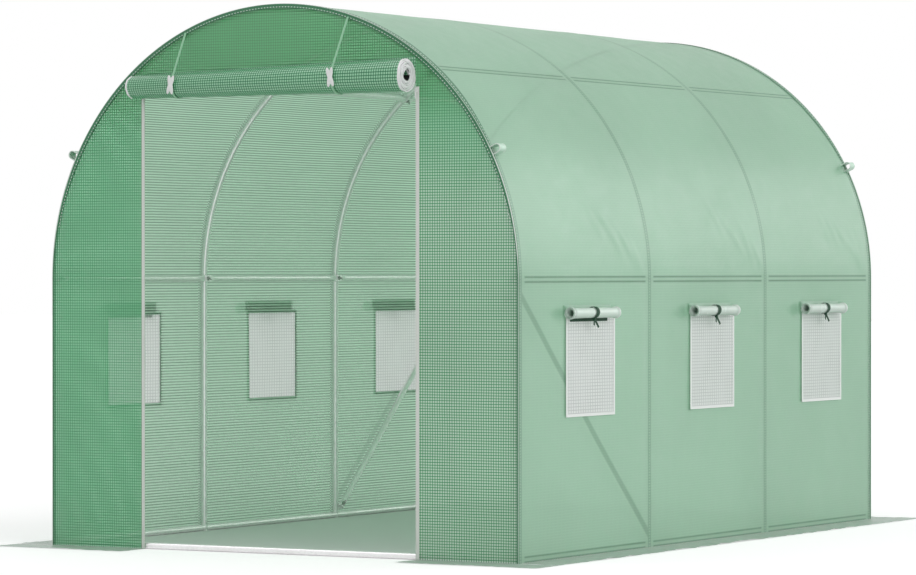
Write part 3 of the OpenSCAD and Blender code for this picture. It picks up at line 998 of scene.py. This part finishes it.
def makeStitches(name, y, offset, lowest):
    # thread dashes along the arch at one place along the tunnel, above the lowest height
    distance = np.arange(lowest, archLength - lowest, welt["stitchPitch"])
    place = overArch(distance, y, np.full(len(distance), offset))
    outward = archLine(distance)[1]
    zero = np.zeros(len(distance))
    along = np.stack([outward[:, 1], zero, -outward[:, 0]], -1)
    out = np.stack([outward[:, 0], zero, outward[:, 1]], -1)
    axes = np.stack([along, out, np.cross(along, out)], 1)
    shape = copies(ellipsoid(welt["stitchLength"], welt["stitchRadius"]), place, axes)
    putPiece(name, shape, "seamThread", None, True, 80)


def makeHighlightPiping(name, y):
    # pale round piping carried along the corner of the arch, thickest below the guy loops:
    # a painted highlight on the corner
    path = overArch(weltPlaces, y, np.full(len(weltPlaces), welt["off"] + welt["thick"] * 0.5))
    thin, thick = welt["pipingRadius"]
    grows, fades = welt["pipingSpans"]
    size = alongArch(thin, thick, grows) + alongArch(0, thin - thick, fades)
    shape = carry(path, roundProfile(1.0, 8), alongY, False, size)
    putPiece(name, shape, "seamThread", None, True, 60)


for label, end, sign in gables:
    (gableIn, gableLow), (roofIn, roofLow) = welt["gableStitches"], welt["roofStitches"]
    makeWelt(label + "_welt", end, sign)
    makeStitches(label + "_gable_stitches", end - sign * weltOut, gableIn, gableLow)
    makeStitches(label + "_roof_stitches", end + sign * roofIn, weltOut, roofLow)
    makeHighlightPiping(label + "_highlight_piping", end - sign * weltOut)
print("welts, stitches and piping made")


screenMesh = {
    "grid": (27, 24),
    "lift": 0.0007, "hollow": 0.0022,
    "uneven": 0.4, "waves": (5, 0.3, 0.1), "seed": 90,
    "squeeze": 0.65,  # the mesh is coarser along the wall than up it
    "tape": 0.011, "tapeThick": 0.0009, "tapeLift": 0.0003,
    "head": (-0.160, 0.125, -0.012, 0.003),  # dark strip of painted shade under the flap roll: its two ends, low and high
    "shadeStripGrid": (12, 5),
    "shadeStripLift": 0.0016, "shadeStripThick": 0.0004, "shadeStripBow": 0.0006,
}


def makeScreen(side, label, index):
    # sheet over the opening, drawn in a little between its taped edges, with the tape as a mitred frame
    name = f"{label}_window_screen_{index + 1}"
    face, lap, middle = tunnel["radius"] + screenMesh["lift"], windows["lap"], windowPlaces[index]
    halfW, low, high = windows["width"] / 2 + lap, windows["sill"] - lap, windows["top"] + lap
    y = np.linspace(middle - halfW, middle + halfW, screenMesh["grid"][0])
    z = np.linspace(low, high, screenMesh["grid"][1])
    a, b = grid(y, z)
    share = np.sin(pi * (a - y[0]) / (2 * halfW)) * np.sin(pi * (b - low) / (high - low))
    uneven = 1 + screenMesh["uneven"] * waves(a, b, screenMesh["seed"] + index, *screenMesh["waves"])
    x = face - screenMesh["hollow"] * share * uneven
    flat = np.stack([(a - middle) * screenMesh["squeeze"], b - low], -1)
    shape = (np.stack([x, a, b], -1), gridFaces(*a.shape))
    screen = putPiece(name, shape, "insectMesh", flat, facing=(side, 0, 0), side=side)
    corners = np.array([[-1, -1], [1, -1], [1, 1], [-1, 1], [-1, -1]])
    inset = np.array([0, screenMesh["tape"], screenMesh["tape"], 0, 0])
    raised = np.array([0, 0, 1, 1, 0]) * screenMesh["tapeThick"] + screenMesh["tapeLift"]
    centre = np.array([middle, (low + high) / 2])
    half = np.array([halfW, (high - low) / 2])
    edge = centre + corners[:, None] * (half - inset[None, :, None])
    out = np.broadcast_to(face + raised, edge.shape[:2])
    shape = (np.concatenate([out[..., None], edge], -1), gridFaces(5, 5))
    tape = putPiece(name + "_tape", shape, "screenTape", edge - centre, True, 30, side=side)
    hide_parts(f"{label}_window_screens")
    # the first window on each side gets a dark strip of painted shade under its flap roll
    trims = [tape] + ([makeShadeStrip(side, name, middle)] if index == 0 else [])


def makeShadeStrip(side, name, middle):
    # dark strip of painted shade along the top of an opening, under the flap roll, bowed a little outwards
    y0, y1, z0, z1 = screenMesh["head"]
    rows, columns = screenMesh["shadeStripGrid"]
    y, z = middle + np.linspace(y0, y1, rows), windows["top"] + np.linspace(z0, z1, columns)
    a, b = grid(y, z)
    bow = screenMesh["shadeStripBow"] * np.sin(pi * (b - windows["top"] - z0) / (z1 - z0))
    inner = tunnel["radius"] + screenMesh["lift"] + screenMesh["shadeStripLift"]
    layers = [np.stack([inner + (bow + screenMesh["shadeStripThick"]) * rise, a, b], -1) for rise in (1, 0)]
    return putPiece(
        name + "_shade_strip", slab(*layers), "tieCord", slabUv(a, b), True, 40, side=side
    )


flap = {
    "length": 0.355, "columns": 24,
    "ahead": 0.025,  # in front of the window's middle
    "outer": 0.020, "core": 0.0125,
    "turns": 3.3, "turnPoints": 84, "leadPoints": 12,
    "thick": 0.0011,
    "endGrow": 1.16, "endLength": 0.013, "endStep": (0.8, 0.9),  # where along the end it grows
    "uneven": 0.02, "unevenWave": 31,
    "hemOut": 0.0010, "hemShare": 0.9,
    "axisOut": 0.0247, "axisUp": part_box("right_window_flaps")[0].z + 0.0235,
    "hemTop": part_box("right_window_flaps")[1].z,
}


def makeFlap(side, label, index):
    # the flap comes down from its hem on the wall and winds inwards: radius falls with the angle turned
    lead = np.linspace(0, 1, flap["leadPoints"])[:-1]
    angle = np.linspace(0, 2 * pi * flap["turns"], flap["turnPoints"])
    radius = flap["outer"] - (flap["outer"] - flap["core"]) * angle / angle[-1]
    half, end = flap["length"] / 2, flap["endLength"]
    ends = [-half, -half + end * flap["endStep"][0], -half + end]
    middle = np.linspace(ends[-1], -ends[-1], flap["columns"])[1:-1]
    across = np.concatenate([ends, middle, [-e for e in ends[::-1]]])
    bulge = 1 + (flap["endGrow"] - 1) * (np.abs(across) > half - end * flap["endStep"][1])
    bulge = bulge + flap["uneven"] * np.sin(across * flap["unevenWave"] + index)
    layers = []
    for inner in (0.0, flap["thick"]):
        r = (radius[:, None] - inner) * bulge[None]
        x = flap["axisOut"] - r * np.cos(angle)[:, None]
        z = flap["axisUp"] - r * np.sin(angle)[:, None]
        hemX = flap["hemOut"] + flap["thick"] - inner * flap["hemShare"]
        leadX = hemX + (x[:1] - hemX) * ease(lead)[:, None]
        leadZ = flap["hemTop"] + (flap["axisUp"] - flap["hemTop"]) * lead[:, None] * np.ones_like(x[:1])
        px, pz = np.concatenate([leadX, x]), np.concatenate([leadZ, z])
        py = np.broadcast_to(windowPlaces[index] - flap["ahead"] + across, px.shape)
        layers.append(np.stack([tunnel["radius"] + px, py, pz], -1))
    run = runLength(layers[0][:, 5])
    v, u = grid(run, across)
    piece = putPiece(
        f"{label}_window_flap_{index + 1}", slab(*layers), "flapFilm", slabUv(u, v), True, 50,
        side=side,
    )
    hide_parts(f"{label}_window_flaps")


tie = {
    "halfWidth": 0.0120, "tailHalf": 0.0060, "halfThick": 0.0007, "count": 10,
    "gap": 0.0008, "slant": 0.005, "ringPoints": 49,
    "knot": 0.0080, "knotFlat": 0.75, "knotGrid": (9, 12),
    "knotOut": 0.008, "knotDown": 0.002,
    "tails": ((1.0, 0.030), (-0.55, 0.022)),  # sideways lean and drop of the two loose ends
    "tailPoints": 14, "tailOut": (0.12, 0.05), "tailCurl": -0.25,
}


def makeTie(side, label, index):
    # ribbon round the roll with a knot below it and two loose ends that spread
    out, y = tunnel["radius"] + flap["axisOut"], windowPlaces[index] - flap["ahead"]
    axis = np.array([out, y, flap["axisUp"]])
    radius = flap["outer"] + tie["gap"] + tie["halfThick"]
    angle = np.linspace(0, 2 * pi, tie["ringPoints"])
    ring = np.stack([radius * np.cos(angle), tie["slant"] * np.sin(angle), radius * np.sin(angle)], -1)
    flat = roundProfile(1.0, tie["count"]) * np.array([tie["halfThick"], tie["halfWidth"]])
    tail = roundProfile(1.0, tie["count"]) * np.array([tie["tailHalf"], tie["halfThick"]])
    shapes = [carry(axis + ring, flat, alongY, True)]
    knotPlace = axis + np.array([tie["knotOut"], -tie["slant"], -radius - tie["knotDown"]])
    t = np.linspace(0, 1, tie["tailPoints"])[:, None]
    leave, bulge = tie["tailOut"]
    for lean, drop in tie["tails"]:
        bend = np.array([leave, lean, -1.0]) * t + np.array([bulge, tie["tailCurl"] * lean, 0.0]) * t**2
        shapes.append(carry(knotPlace + drop * bend, tail, alongX))
    knotPoints, knotFaces = ellipsoid(2 * tie["knot"], tie["knot"] * tie["knotFlat"], *tie["knotGrid"])
    shapes.append((knotPlace + knotPoints[:, [1, 0, 2]], knotFaces))
    shape = together(*shapes)
    name = f"{label}_window_tie_{index + 1}"
    piece = putPiece(name, shape, "tieCord", shape[0][:, 1:], True, 70, side=side)
    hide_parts(f"{label}_window_ties")


for side, label in sides:
    for index in range(len(windowPlaces)):
        makeScreen(side, label, index)
        makeFlap(side, label, index)
        makeTie(side, label, index)
print("windows made")


doorRoll = {
    "left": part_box("door_roll")[0].x, "right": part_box("door_roll")[1].x,
    "radiusLeft": 0.043, "radiusRight": 0.062,
    "bottom": 1.665,
    "core": 0.0225,
    "turns": 7.0, "turnPoints": 250, "columns": 84,
    "filled": 0.82,  # share of the winding pitch that the sheet's layers fill
    "slack": 0.0003, "slackWaves": ((3, 4.1), (0.7, 9)),  # waves round the roll and along it
    "ridge": 0.0009, "ridgeWaves": ((9, 1.3, 3.1), (23, 2.0, 0.6)),
    "ridgeFrom": 0.2, "ridgeTo": 1.1,  # turns between which the ridges show
    "lead": 0.005, "leadPoints": 9,  # of the sheet above the roll
    "coreTube": (0.0195, 0.0215), "coreInset": 0.0005, "coreGrid": (12, 33),
    "telescope": 0.0025, "telescopeWave": 2.3,
    "telescopeFrom": 0.4, "telescopeOver": 0.2,
    "seat": 0.0003,
}


def rollRadius(x):
    share = (x - doorRoll["left"]) / (doorRoll["right"] - doorRoll["left"])
    return doorRoll["radiusLeft"] + (doorRoll["radiusRight"] - doorRoll["radiusLeft"]) * share


def rollCentre(x):
    r = rollRadius(x)
    return tunnel["front"] - doorRoll["seat"] - r, doorRoll["bottom"] + r


def rollSlack(angle, across):
    # slow slack all through the roll, and ridges along its outermost turn
    (a, b), (c, d) = doorRoll["slackWaves"]
    slack = doorRoll["slack"] * np.sin(a * angle + b * across) * np.sin(d * across + c * angle)
    (a, b, c), (d, e, share) = doorRoll["ridgeWaves"]
    ridges = np.sin(a * angle + b * np.sin(c * across)) + share * np.sin(d * angle + e * across)
    turned = angle / (2 * pi)
    grow = np.clip(turned / doorRoll["ridgeFrom"], 0, 1) ** 2
    return slack + doorRoll["ridge"] * ridges * np.clip(doorRoll["ridgeTo"] - turned, 0, 1) * grow


def makeDoorRoll():
    # the door comes down from its seam on the gable, passes under the roll and winds inwards:
    # y = middle + r cos(angle), z = middle - r sin(angle), r falling with the angle, slack in long ripples
    angle = np.linspace(0, 2 * pi * doorRoll["turns"], doorRoll["turnPoints"])[:, None]
    lead = np.linspace(0, 1, doorRoll["leadPoints"])[:-1, None]
    across = np.linspace(doorRoll["left"], doorRoll["right"], doorRoll["columns"])[None]
    outer = rollRadius(across)
    centreY, centreZ = rollCentre(across)
    pitch = (outer - doorRoll["core"]) / doorRoll["turns"]
    turned = angle / (2 * pi)
    wander = np.sin(doorRoll["telescopeWave"] * turned * 2 * pi)
    shift = doorRoll["telescope"] * wander * (2 * (across > 0) - 1)
    nearEnd = np.clip((np.abs(across) - doorRoll["telescopeFrom"]) / doorRoll["telescopeOver"], 0, 1)
    x = across + shift * nearEnd
    top = centreZ + outer + doorRoll["lead"]
    layers = []
    for inner in (0.0, doorRoll["filled"]):
        r = outer - pitch * (turned + inner) + rollSlack(angle, across)
        y = centreY + r * np.cos(angle)
        z = centreZ - r * np.sin(angle)
        leadY = np.broadcast_to(y[:1], (len(lead), across.shape[1]))
        leadX = np.broadcast_to(across, leadY.shape)
        leadZ = top + (z[:1] - top) * lead
        layers.append(np.concatenate([np.stack([leadX, leadY, leadZ], -1), np.stack([x, y, z], -1)]))
    run = runLength(layers[0][:, doorRoll["columns"] // 2])
    v, u = grid(run, across[0] - across.mean())
    piece = putPiece("door_roll_sheet", slab(*layers), "doorRollFilm", slabUv(u, v), True, 50)
    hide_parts("door_roll")
    ends = np.array([doorRoll["left"] + doorRoll["coreInset"], doorRoll["right"] - doorRoll["coreInset"]])
    tubeEnds = np.stack([ends, *rollCentre(ends)], -1)
    rows, columns = doorRoll["coreGrid"]
    line = tubeEnds[0] + (tubeEnds[1] - tubeEnds[0]) * np.linspace(0, 1, rows)[:, None]
    turn = np.linspace(0, 2 * pi, columns)
    ring = np.stack([0 * turn, np.cos(turn), np.sin(turn)], -1)
    walls = [line[:, None] + radius * ring[None] for radius in doorRoll["coreTube"]]
    core = putPiece("door_roll_core", slab(*walls), "darkCore", None, True, 50)
    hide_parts("door_roll")


strap = {
    "width": 0.008, "thick": 0.0014, "edges": (-0.5, -0.2, 0.2, 0.5),
    "places": (-0.402, 0.298),
    "lean": 0.002,
    "gap": 0.0018, "topOut": 0.003,
    "wrap": math.radians(125),  # how far the strap follows the roll below its front
    "wrapPoints": 26, "runPoints": 24, "runFacing": (0.0, -1.0, 0.15),
}


def makeStraps():
    # from the arch down to the roll, then round its front and underside
    shapes, flats = [], []
    for x in strap["places"]:
        y, z = rollCentre(x)
        r = rollRadius(x) + strap["gap"] + strap["thick"] / 2
        topX = x + strap["lean"]
        top = np.array([topX, tunnel["front"] - strap["topOut"], gableTop(topX) - strap["width"]])
        ahead, above = top[1] - y, top[2] - z
        meet = math.atan2(above, -ahead) - math.acos(r / math.hypot(ahead, above))
        turn = np.linspace(meet, -strap["wrap"], strap["wrapPoints"])
        around = np.stack([np.full(len(turn), x), y - r * np.cos(turn), z + r * np.sin(turn)], -1)
        run = top + (around[0] - top) * np.linspace(0, 1, strap["runPoints"])[:-1, None]
        path = np.concatenate([run, around])
        normals = path - np.array([x, y, z])
        normals[:, 0] = 0
        normals[: len(run)] = strap["runFacing"]
        along = unit(np.gradient(path, axis=0))
        sideways = unit(np.cross(along, unit(normals)))
        outwards = unit(np.cross(sideways, along))
        edges = np.array(strap["edges"]) * strap["width"]
        layers = [
            path[:, None] + edges[None, :, None] * sideways[:, None] + s * outwards[:, None]
            for s in (strap["thick"] / 2, -strap["thick"] / 2)
        ]
        shapes.append(slab(*layers))
        v, u = grid(runLength(path), edges)
        flats.append(slabUv(u, v))
    uv = np.concatenate(flats)
    piece = putPiece("door_strap_webbing", together(*shapes), "greenWebbing", uv, True, 40)
    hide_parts("door_straps")


toggle = {
    "halfWidth": 0.0180, "halfHeight": 0.0450, "waist": 0.52, "thick": 0.0072, "gap": 0.0010,
    "grid": (17, 65), "edgePower": 0.45, "facePower": 0.7,  # how squarely the rim and the faces are rounded
    "earBack": 0.0012, "lean": 0.10,
}


def makeToggles():
    # four-eared toggle: outline radius swells at the diagonals, pillowed from front to back
    rows, columns = toggle["grid"]
    outline = np.linspace(0, 2 * pi, columns)
    tilt = np.linspace(-pi / 2, pi / 2, rows)
    ears = toggle["waist"] + (1 - toggle["waist"]) * np.sin(2 * outline) ** 2
    spread = np.cos(tilt)[:, None] ** toggle["edgePower"]
    depth = np.sign(np.sin(tilt)) * np.abs(np.sin(tilt)) ** toggle["facePower"] * toggle["thick"] / 2
    x = (toggle["halfWidth"] * ears * np.cos(outline))[None] * spread
    z = (toggle["halfHeight"] * ears * np.sin(outline))[None] * spread
    back = toggle["earBack"] * (np.abs(z) / toggle["halfHeight"]) ** 2
    y = np.broadcast_to(depth[:, None], x.shape) + back
    base = np.stack([x, y, z], -1).reshape(-1, 3), gridFaces(*x.shape)
    places = np.array(strap["places"])
    centreY, centreZ = rollCentre(places)
    stand = rollRadius(places) + strap["gap"] + strap["thick"] + toggle["gap"] + toggle["thick"] / 2
    origins = np.stack([places, centreY - stand, centreZ], -1)
    lean = np.array([-toggle["lean"], toggle["lean"]])
    zero = np.zeros(2)
    axes = np.stack([
        np.stack([np.cos(lean), zero, np.sin(lean)], -1),
        np.stack([zero, zero + 1, zero], -1),
        np.stack([-np.sin(lean), zero, np.cos(lean)], -1),
    ], 1)
    shape = copies(base, origins, axes)
    piece = putPiece("door_toggle_bodies", shape, "whitePlastic", None, True, 60)
    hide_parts("door_toggles")


zipper = {
    "off": 0.0006, "step": 0.03, "columns": 6,
    "tapeThick": 0.0008, "toothPitch": 0.0042, "tooth": (0.0030, 0.0020, 0.0024),
    "toothIn": 0.0016, "toothOut": 0.0009, "toothEnds": (0.006, 0.02),
    "slider": (0.010, 0.006, 0.016), "pull": (0.006, 0.0014, 0.028),
    "sliderPlace": (0.003, -0.0045, -0.012),  # from the doorway's edge, the tape and the top
    "pullPlace": (0.001, -0.0045, -0.016),  # from the slider
}


def brick(size, corner=0.25):
    # block with chamfered ends: a rectangle that narrows towards its two ends along z
    x, y, z = np.array(size) / 2
    ring = np.array([[-1, -1], [1, -1], [1, 1], [-1, 1], [-1, -1]])
    lower = [(-1, 0.0), (-1, 1 - corner), (-1 + corner, 1)]
    rows = []
    for height, share in lower + [(-height, share) for height, share in lower[::-1]]:
        flat = ring * np.array([x, y]) * share
        rows.append(np.concatenate([flat, np.full((5, 1), height * z)], -1))
    return np.concatenate(rows), gridFaces(6, 5)


def makeZip(side, label):
    # tape beside the doorway, a row of teeth along its free edge and a slider with a pull at the top
    low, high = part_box(f"{label}_door_zip")
    inner, outer = tunnel["doorHalf"], max(abs(low.x), abs(high.x))
    z = steps([low.z, high.z], zipper["step"])
    a, b = grid(np.linspace(inner, outer, zipper["columns"]), z)
    face, thick = tunnel["front"] - zipper["off"], zipper["tapeThick"]
    layers = [np.stack([a, np.full(a.shape, face - extra), b], -1) for extra in (thick, 0.0)]
    uv = slabUv(a, b)
    tape = putPiece(f"{label}_zip_tape", slab(*layers), "zipTape", uv, True, 30, side=side)
    start, end = zipper["toothEnds"]
    heights = np.arange(low.z + start, high.z - end, zipper["toothPitch"])
    origins = np.empty((len(heights), 3))
    origins[:, 0] = inner + zipper["toothIn"]
    origins[:, 1] = face - thick - zipper["toothOut"]
    origins[:, 2] = heights
    shape = copies(brick(zipper["tooth"]), origins, np.broadcast_to(np.eye(3), (len(heights), 3, 3)))
    teeth = putPiece(f"{label}_zip_teeth", shape, "zipTape", None, True, 30, side=side)
    top = np.array([inner, face, high.z]) + zipper["sliderPlace"]
    shape = together(
        copies(brick(zipper["slider"]), top[None], np.eye(3)[None]),
        copies(brick(zipper["pull"]), (top + zipper["pullPlace"])[None], np.eye(3)[None]),
    )
    putPiece(f"{label}_zip_slider", shape, "whitePlastic", None, True, 30, side=side)
    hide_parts(f"{label}_door_zip")
    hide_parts(f"{label}_door_zip")


makeDoorRoll()
makeStraps()
makeToggles()
for side, label in sides[::-1]:
    makeZip(side, label)
print("doorway made")


guyLoop = {
    "angle": math.radians(27), "reach": 0.038, "half": 0.0145, "width": 0.042,
    "thick": 0.0022, "edging": 0.0017, "off": 0.0016,
    "legPoints": 8, "bendPoints": 17, "columns": 6,
}


def makeGuyLoops():
    # strip folded out and back: two straight legs and a half round, carried across the width
    straight = guyLoop["reach"] - guyLoop["half"] - guyLoop["thick"]
    legs = np.linspace(0, straight, guyLoop["legPoints"])[:-1]
    bend = np.linspace(-pi / 2, pi / 2, guyLoop["bendPoints"])
    out = np.concatenate([legs, straight + guyLoop["half"] * np.cos(bend), legs[::-1]])
    apartLegs = np.concatenate([0 * legs - 1, np.sin(bend), 0 * legs + 1]) * guyLoop["half"]
    path = np.stack([out, apartLegs], -1)
    along = unit(np.gradient(path, axis=0))
    normal = np.stack([along[:, 1], -along[:, 0]], -1)
    angle = guyLoop["angle"]
    radial = np.array([math.cos(angle), 0, math.sin(angle)])
    tangent = np.array([-math.sin(angle), 0, math.cos(angle)])
    root = np.array([0, 0, tunnel["spring"]]) + radial * (tunnel["radius"] + guyLoop["off"])
    across = np.linspace(0, guyLoop["width"], guyLoop["columns"])
    v, u = grid(runLength(path), across)
    edgeProfile = roundProfile(guyLoop["edging"], 8)
    strips, edgings = [], []
    for side, _ in sides:
        for _, end, sign in gables:
            layers = []
            for s in (0.5, -0.5):
                flat = path + s * guyLoop["thick"] * normal
                spot = root + flat[:, None, :1] * radial + flat[:, None, 1:] * tangent
                spot = np.repeat(spot, len(across), 1)
                spot[..., 1] = end + sign * across[None]
                layers.append(flipX(spot, side))
            strips.append(slab(*layers))
            for place in (0.0, guyLoop["width"]):
                line = root + path[:, :1] * radial + path[:, 1:] * tangent
                line[:, 1] = end + sign * place
                edgings.append(carry(flipX(line, side), edgeProfile, alongY))
    uv = np.tile(slabUv(u, v), (len(strips), 1))
    strip = putPiece("guy_loop_strips", together(*strips), "loopFilm", uv, True, 40)
    putPiece("guy_loop_edging", together(*edgings), "seamThread", None, True, 60)
    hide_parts("guy_loops")


makeGuyLoops()
print("guy loops made")


wingNut = {
    "hub": 0.0058, "hubTop": 0.78, "hubHeight": 0.0075, "bolt": 0.0030, "boltOut": 0.0125,
    "washer": 0.0085, "washerThick": 0.0012, "count": 16,
    "wing": (0.0120, 0.0016, 0.0085), "wingGrid": (7, 17), "wingPower": 0.5,
    "wingOut": 0.0035, "wingUp": 0.55, "wingSweep": 0.45,
}
boltHead = {"radius": 0.0062, "height": 0.0010, "sunk": 0.0004, "rings": 5, "count": 16}


def wingNutShape():
    # washer, hub and bolt end turned about z, with a swept-up ear on either side
    w = wingNut
    turned = lathe(np.array([
        [0, 0], [w["washer"], 0], [w["washer"], w["washerThick"]], [w["hub"], w["washerThick"]],
        [w["hub"] * w["hubTop"], w["hubHeight"]], [w["bolt"], w["hubHeight"]],
        [w["bolt"], w["boltOut"]], [0, w["boltOut"]],
    ]), w["count"])
    rows, columns = w["wingGrid"]
    length, thick, height = w["wing"]
    angle = np.linspace(0, 2 * pi, columns)
    tilt = np.linspace(-pi / 2, pi / 2, rows)[:, None]
    x = np.cos(tilt) ** w["wingPower"] * np.cos(angle) * length / 2
    z = np.cos(tilt) ** w["wingPower"] * np.sin(angle) * height / 2
    y = np.broadcast_to(np.sin(tilt) * thick, x.shape)
    z = z + w["wingSweep"] * (x + length / 2) + w["hubHeight"] * w["wingUp"]
    ears = [
        (np.stack([side * (x + w["hub"] + w["wingOut"]), y, z], -1).reshape(-1, 3), gridFaces(*x.shape))
        for side in (-1, 1)
    ]
    return together(turned, *ears)


def boltHeadShape():
    # low dome turned about z
    radius, sunk = boltHead["radius"], boltHead["sunk"]
    tilt = np.linspace(0, pi / 2, boltHead["rings"])
    dome = np.stack([radius * np.cos(tilt), boltHead["height"] * np.sin(tilt)], -1)
    return lathe(np.concatenate([[[0, -sunk], [radius, -sunk]], dome]), boltHead["count"])


bolts = {
    "seat": 0.0003, "tongue": 0.003,  # gap under a flattened rail end, and its thickness
    "turn": 0.5, "braceTurn": (0.0, 0.6, 0.8),  # how the ears of the nuts stand
    "braceHoops": ((1, (1, 0)), (-1, (2, 3))),  # side, and hoops at the foot and the head
    "braceHeights": (0.062, 0.928),
    "footHead": 0.030, "railHead": 0.012,  # heads above the floor and beside the mid rails
}


def makeBolts():
    # wing nuts on the inner side where the rails are bolted to the hoops and the braces to the legs,
    # and low bolt heads under the sheet on the outer side
    nuts, heads = [], []
    for angle in (0, tunnel["purlin"], pi - tunnel["purlin"], pi):
        radial = np.array([math.cos(angle), 0, math.sin(angle)])
        for index, y in enumerate(hoopPlaces):
            layers = 2 if 0 < index < len(hoopPlaces) - 1 else 1
            depth = hoopRadius - tunnel["tube"] - layers * (bolts["seat"] + bolts["tongue"])
            spot = np.array([0, y, tunnel["spring"]])
            turned = unit(alongY + bolts["turn"] * np.cross(radial, alongY))
            nuts.append((spot + radial * depth, -radial, turned))
            heads.append((spot + radial * (hoopRadius + tunnel["tube"]), radial))
    braceFace = hoopRadius - 3 * tunnel["tube"] - bolts["seat"]
    for side, order in bolts["braceHoops"]:
        for hoop, height in zip(order, bolts["braceHeights"]):
            spot = np.array([side * braceFace, hoopPlaces[hoop], height])
            nuts.append((spot, -side * alongX, unit(np.array(bolts["braceTurn"]))))
    spring, off = tunnel["spring"], bolts["railHead"]
    for side, _ in sides:
        for y, sign in ((hoopPlaces[0], -1), (hoopPlaces[-1], 1)):
            for height in (bolts["footHead"], spring - off, spring + off):
                spot = np.array([side * hoopRadius, y + sign * tunnel["tube"], height])
                heads.append((spot, sign * alongY))
    origins, inward, turned = np.array(nuts).swapaxes(0, 1)
    first = unit(turned - inward * np.sum(turned * inward, -1, keepdims=True))
    shape = copies(wingNutShape(), origins, np.stack([first, np.cross(inward, first), inward], 1))
    putPiece("frame_wing_nuts", shape, "platedBolt", None, True, 35)
    origins, outward = np.array(heads).swapaxes(0, 1)
    first = np.where(np.abs(outward[:, 1:2]) > 0.5, alongX, alongY)
    shape = copies(boltHeadShape(), origins, np.stack([first, np.cross(outward, first), outward], 1))
    putPiece("frame_bolt_heads", shape, "platedBolt", None, True, 50)


makeBolts()
print("bolts made")


for name, node in nodes.items():
    if node.hide_render:
        continue
    node.data.materials.clear()
    node.data.materials.append(finishes["galvanisedTube"])
    print("tube finish on", name)


stage = {
    "floorHalf": 60.0,
    "floorColour": (0.80, 0.80, 0.80), "floorGlow": 0.40, "glowFade": 0.02,
    "ambient": 0.66, "ambientColour": (1.0, 1.0, 1.0),
    "lamps": {  # strength, spread and direction that the light comes from
        "key": (0.78, math.radians(50), (0.92, -0.20, 0.62)),
        "rear": (0.40, math.radians(26), (0.46, 0.86, 0.24)),
        "glint": (0.12, math.radians(5), (-0.49, -0.29, 0.81)),
    },
}


def seenDirectly(tree):
    # 1 for rays from the camera and for reflections and clear views of the stage
    path = addNode(tree, "ShaderNodeLightPath").outputs
    seen = larger(tree, path["Is Camera Ray"], path["Is Glossy Ray"])
    return larger(tree, seen, path["Is Transmission Ray"])


def makeStage():
    # large pale floor that stays white in the picture apart from the shadows; its glow is left off
    # inside the tunnel, which paints shade on the floor there
    half, fade = stage["floorHalf"], stage["glowFade"]
    corners = [(x * half, y * half, 0) for x, y in ((-1, -1), (1, -1), (1, 1), (-1, 1))]
    mesh = bpy.data.meshes.new("floor")
    mesh.from_pydata(corners, [], [(0, 1, 2, 3)])
    floor = bpy.data.objects.new("floor", mesh)
    scene.collection.objects.link(floor)
    finish = bpy.data.materials.new("paleFloor")
    finish.use_nodes = True
    tree = finish.node_tree
    tree.nodes.clear()
    plain = addNode(tree, "ShaderNodeBsdfDiffuse", {"Color": (*stage["floorColour"], 1.0)})
    glow = addNode(tree, "ShaderNodeEmission")
    place = splitAxes(tree, addNode(tree, "ShaderNodeTexCoord").outputs["Object"])
    # painted shade: no glow inside the tunnel's footprint
    outside = [
        mapRange(tree, doMath(tree, "ABSOLUTE", place[axis]), limit - fade, limit)
        for axis, limit in ((0, tunnel["radius"]), (1, tunnel["rear"]))
    ]
    strength = times(tree, seenDirectly(tree), larger(tree, *outside))
    wire(tree, times(tree, strength, stage["floorGlow"]), glow.inputs["Strength"])
    both = addNode(tree, "ShaderNodeAddShader")
    wire(tree, plain.outputs[0], both.inputs[0])
    wire(tree, glow.outputs[0], both.inputs[1])
    wire(tree, both.outputs[0], addNode(tree, "ShaderNodeOutputMaterial").inputs[0])
    mesh.materials.append(finish)


def makeLight():
    # even white surroundings with a broad lamp high on the right, a lower one behind on the right
    # and a small weak one over the left front that picks out glossy edges
    world = bpy.data.worlds.new("studio")
    scene.world = world
    world.use_nodes = True
    tree = world.node_tree
    tree.nodes.clear()
    mix = addNode(tree, "ShaderNodeMixShader")
    wire(tree, seenDirectly(tree), mix.inputs[0])
    soft, white = (stage["ambientColour"], stage["ambient"]), ((1.0, 1.0, 1.0), 1.0)
    for place, (colour, strength) in ((1, soft), (2, white)):
        values = {"Color": (*colour, 1.0), "Strength": strength}
        wire(tree, addNode(tree, "ShaderNodeBackground", values).outputs[0], mix.inputs[place])
    wire(tree, mix.outputs[0], addNode(tree, "ShaderNodeOutputWorld").inputs[0])
    for name, (strength, spread, source) in stage["lamps"].items():
        lamp = bpy.data.lights.new(name, "SUN")
        lamp.energy = strength
        lamp.angle = spread
        holder = bpy.data.objects.new(name, lamp)
        holder.rotation_euler = (-Vector(source)).to_track_quat("-Z", "Y").to_euler()
        scene.collection.objects.link(holder)


makeStage()
makeLight()
scene.view_settings.view_transform = "Standard"
print("stage and light made")
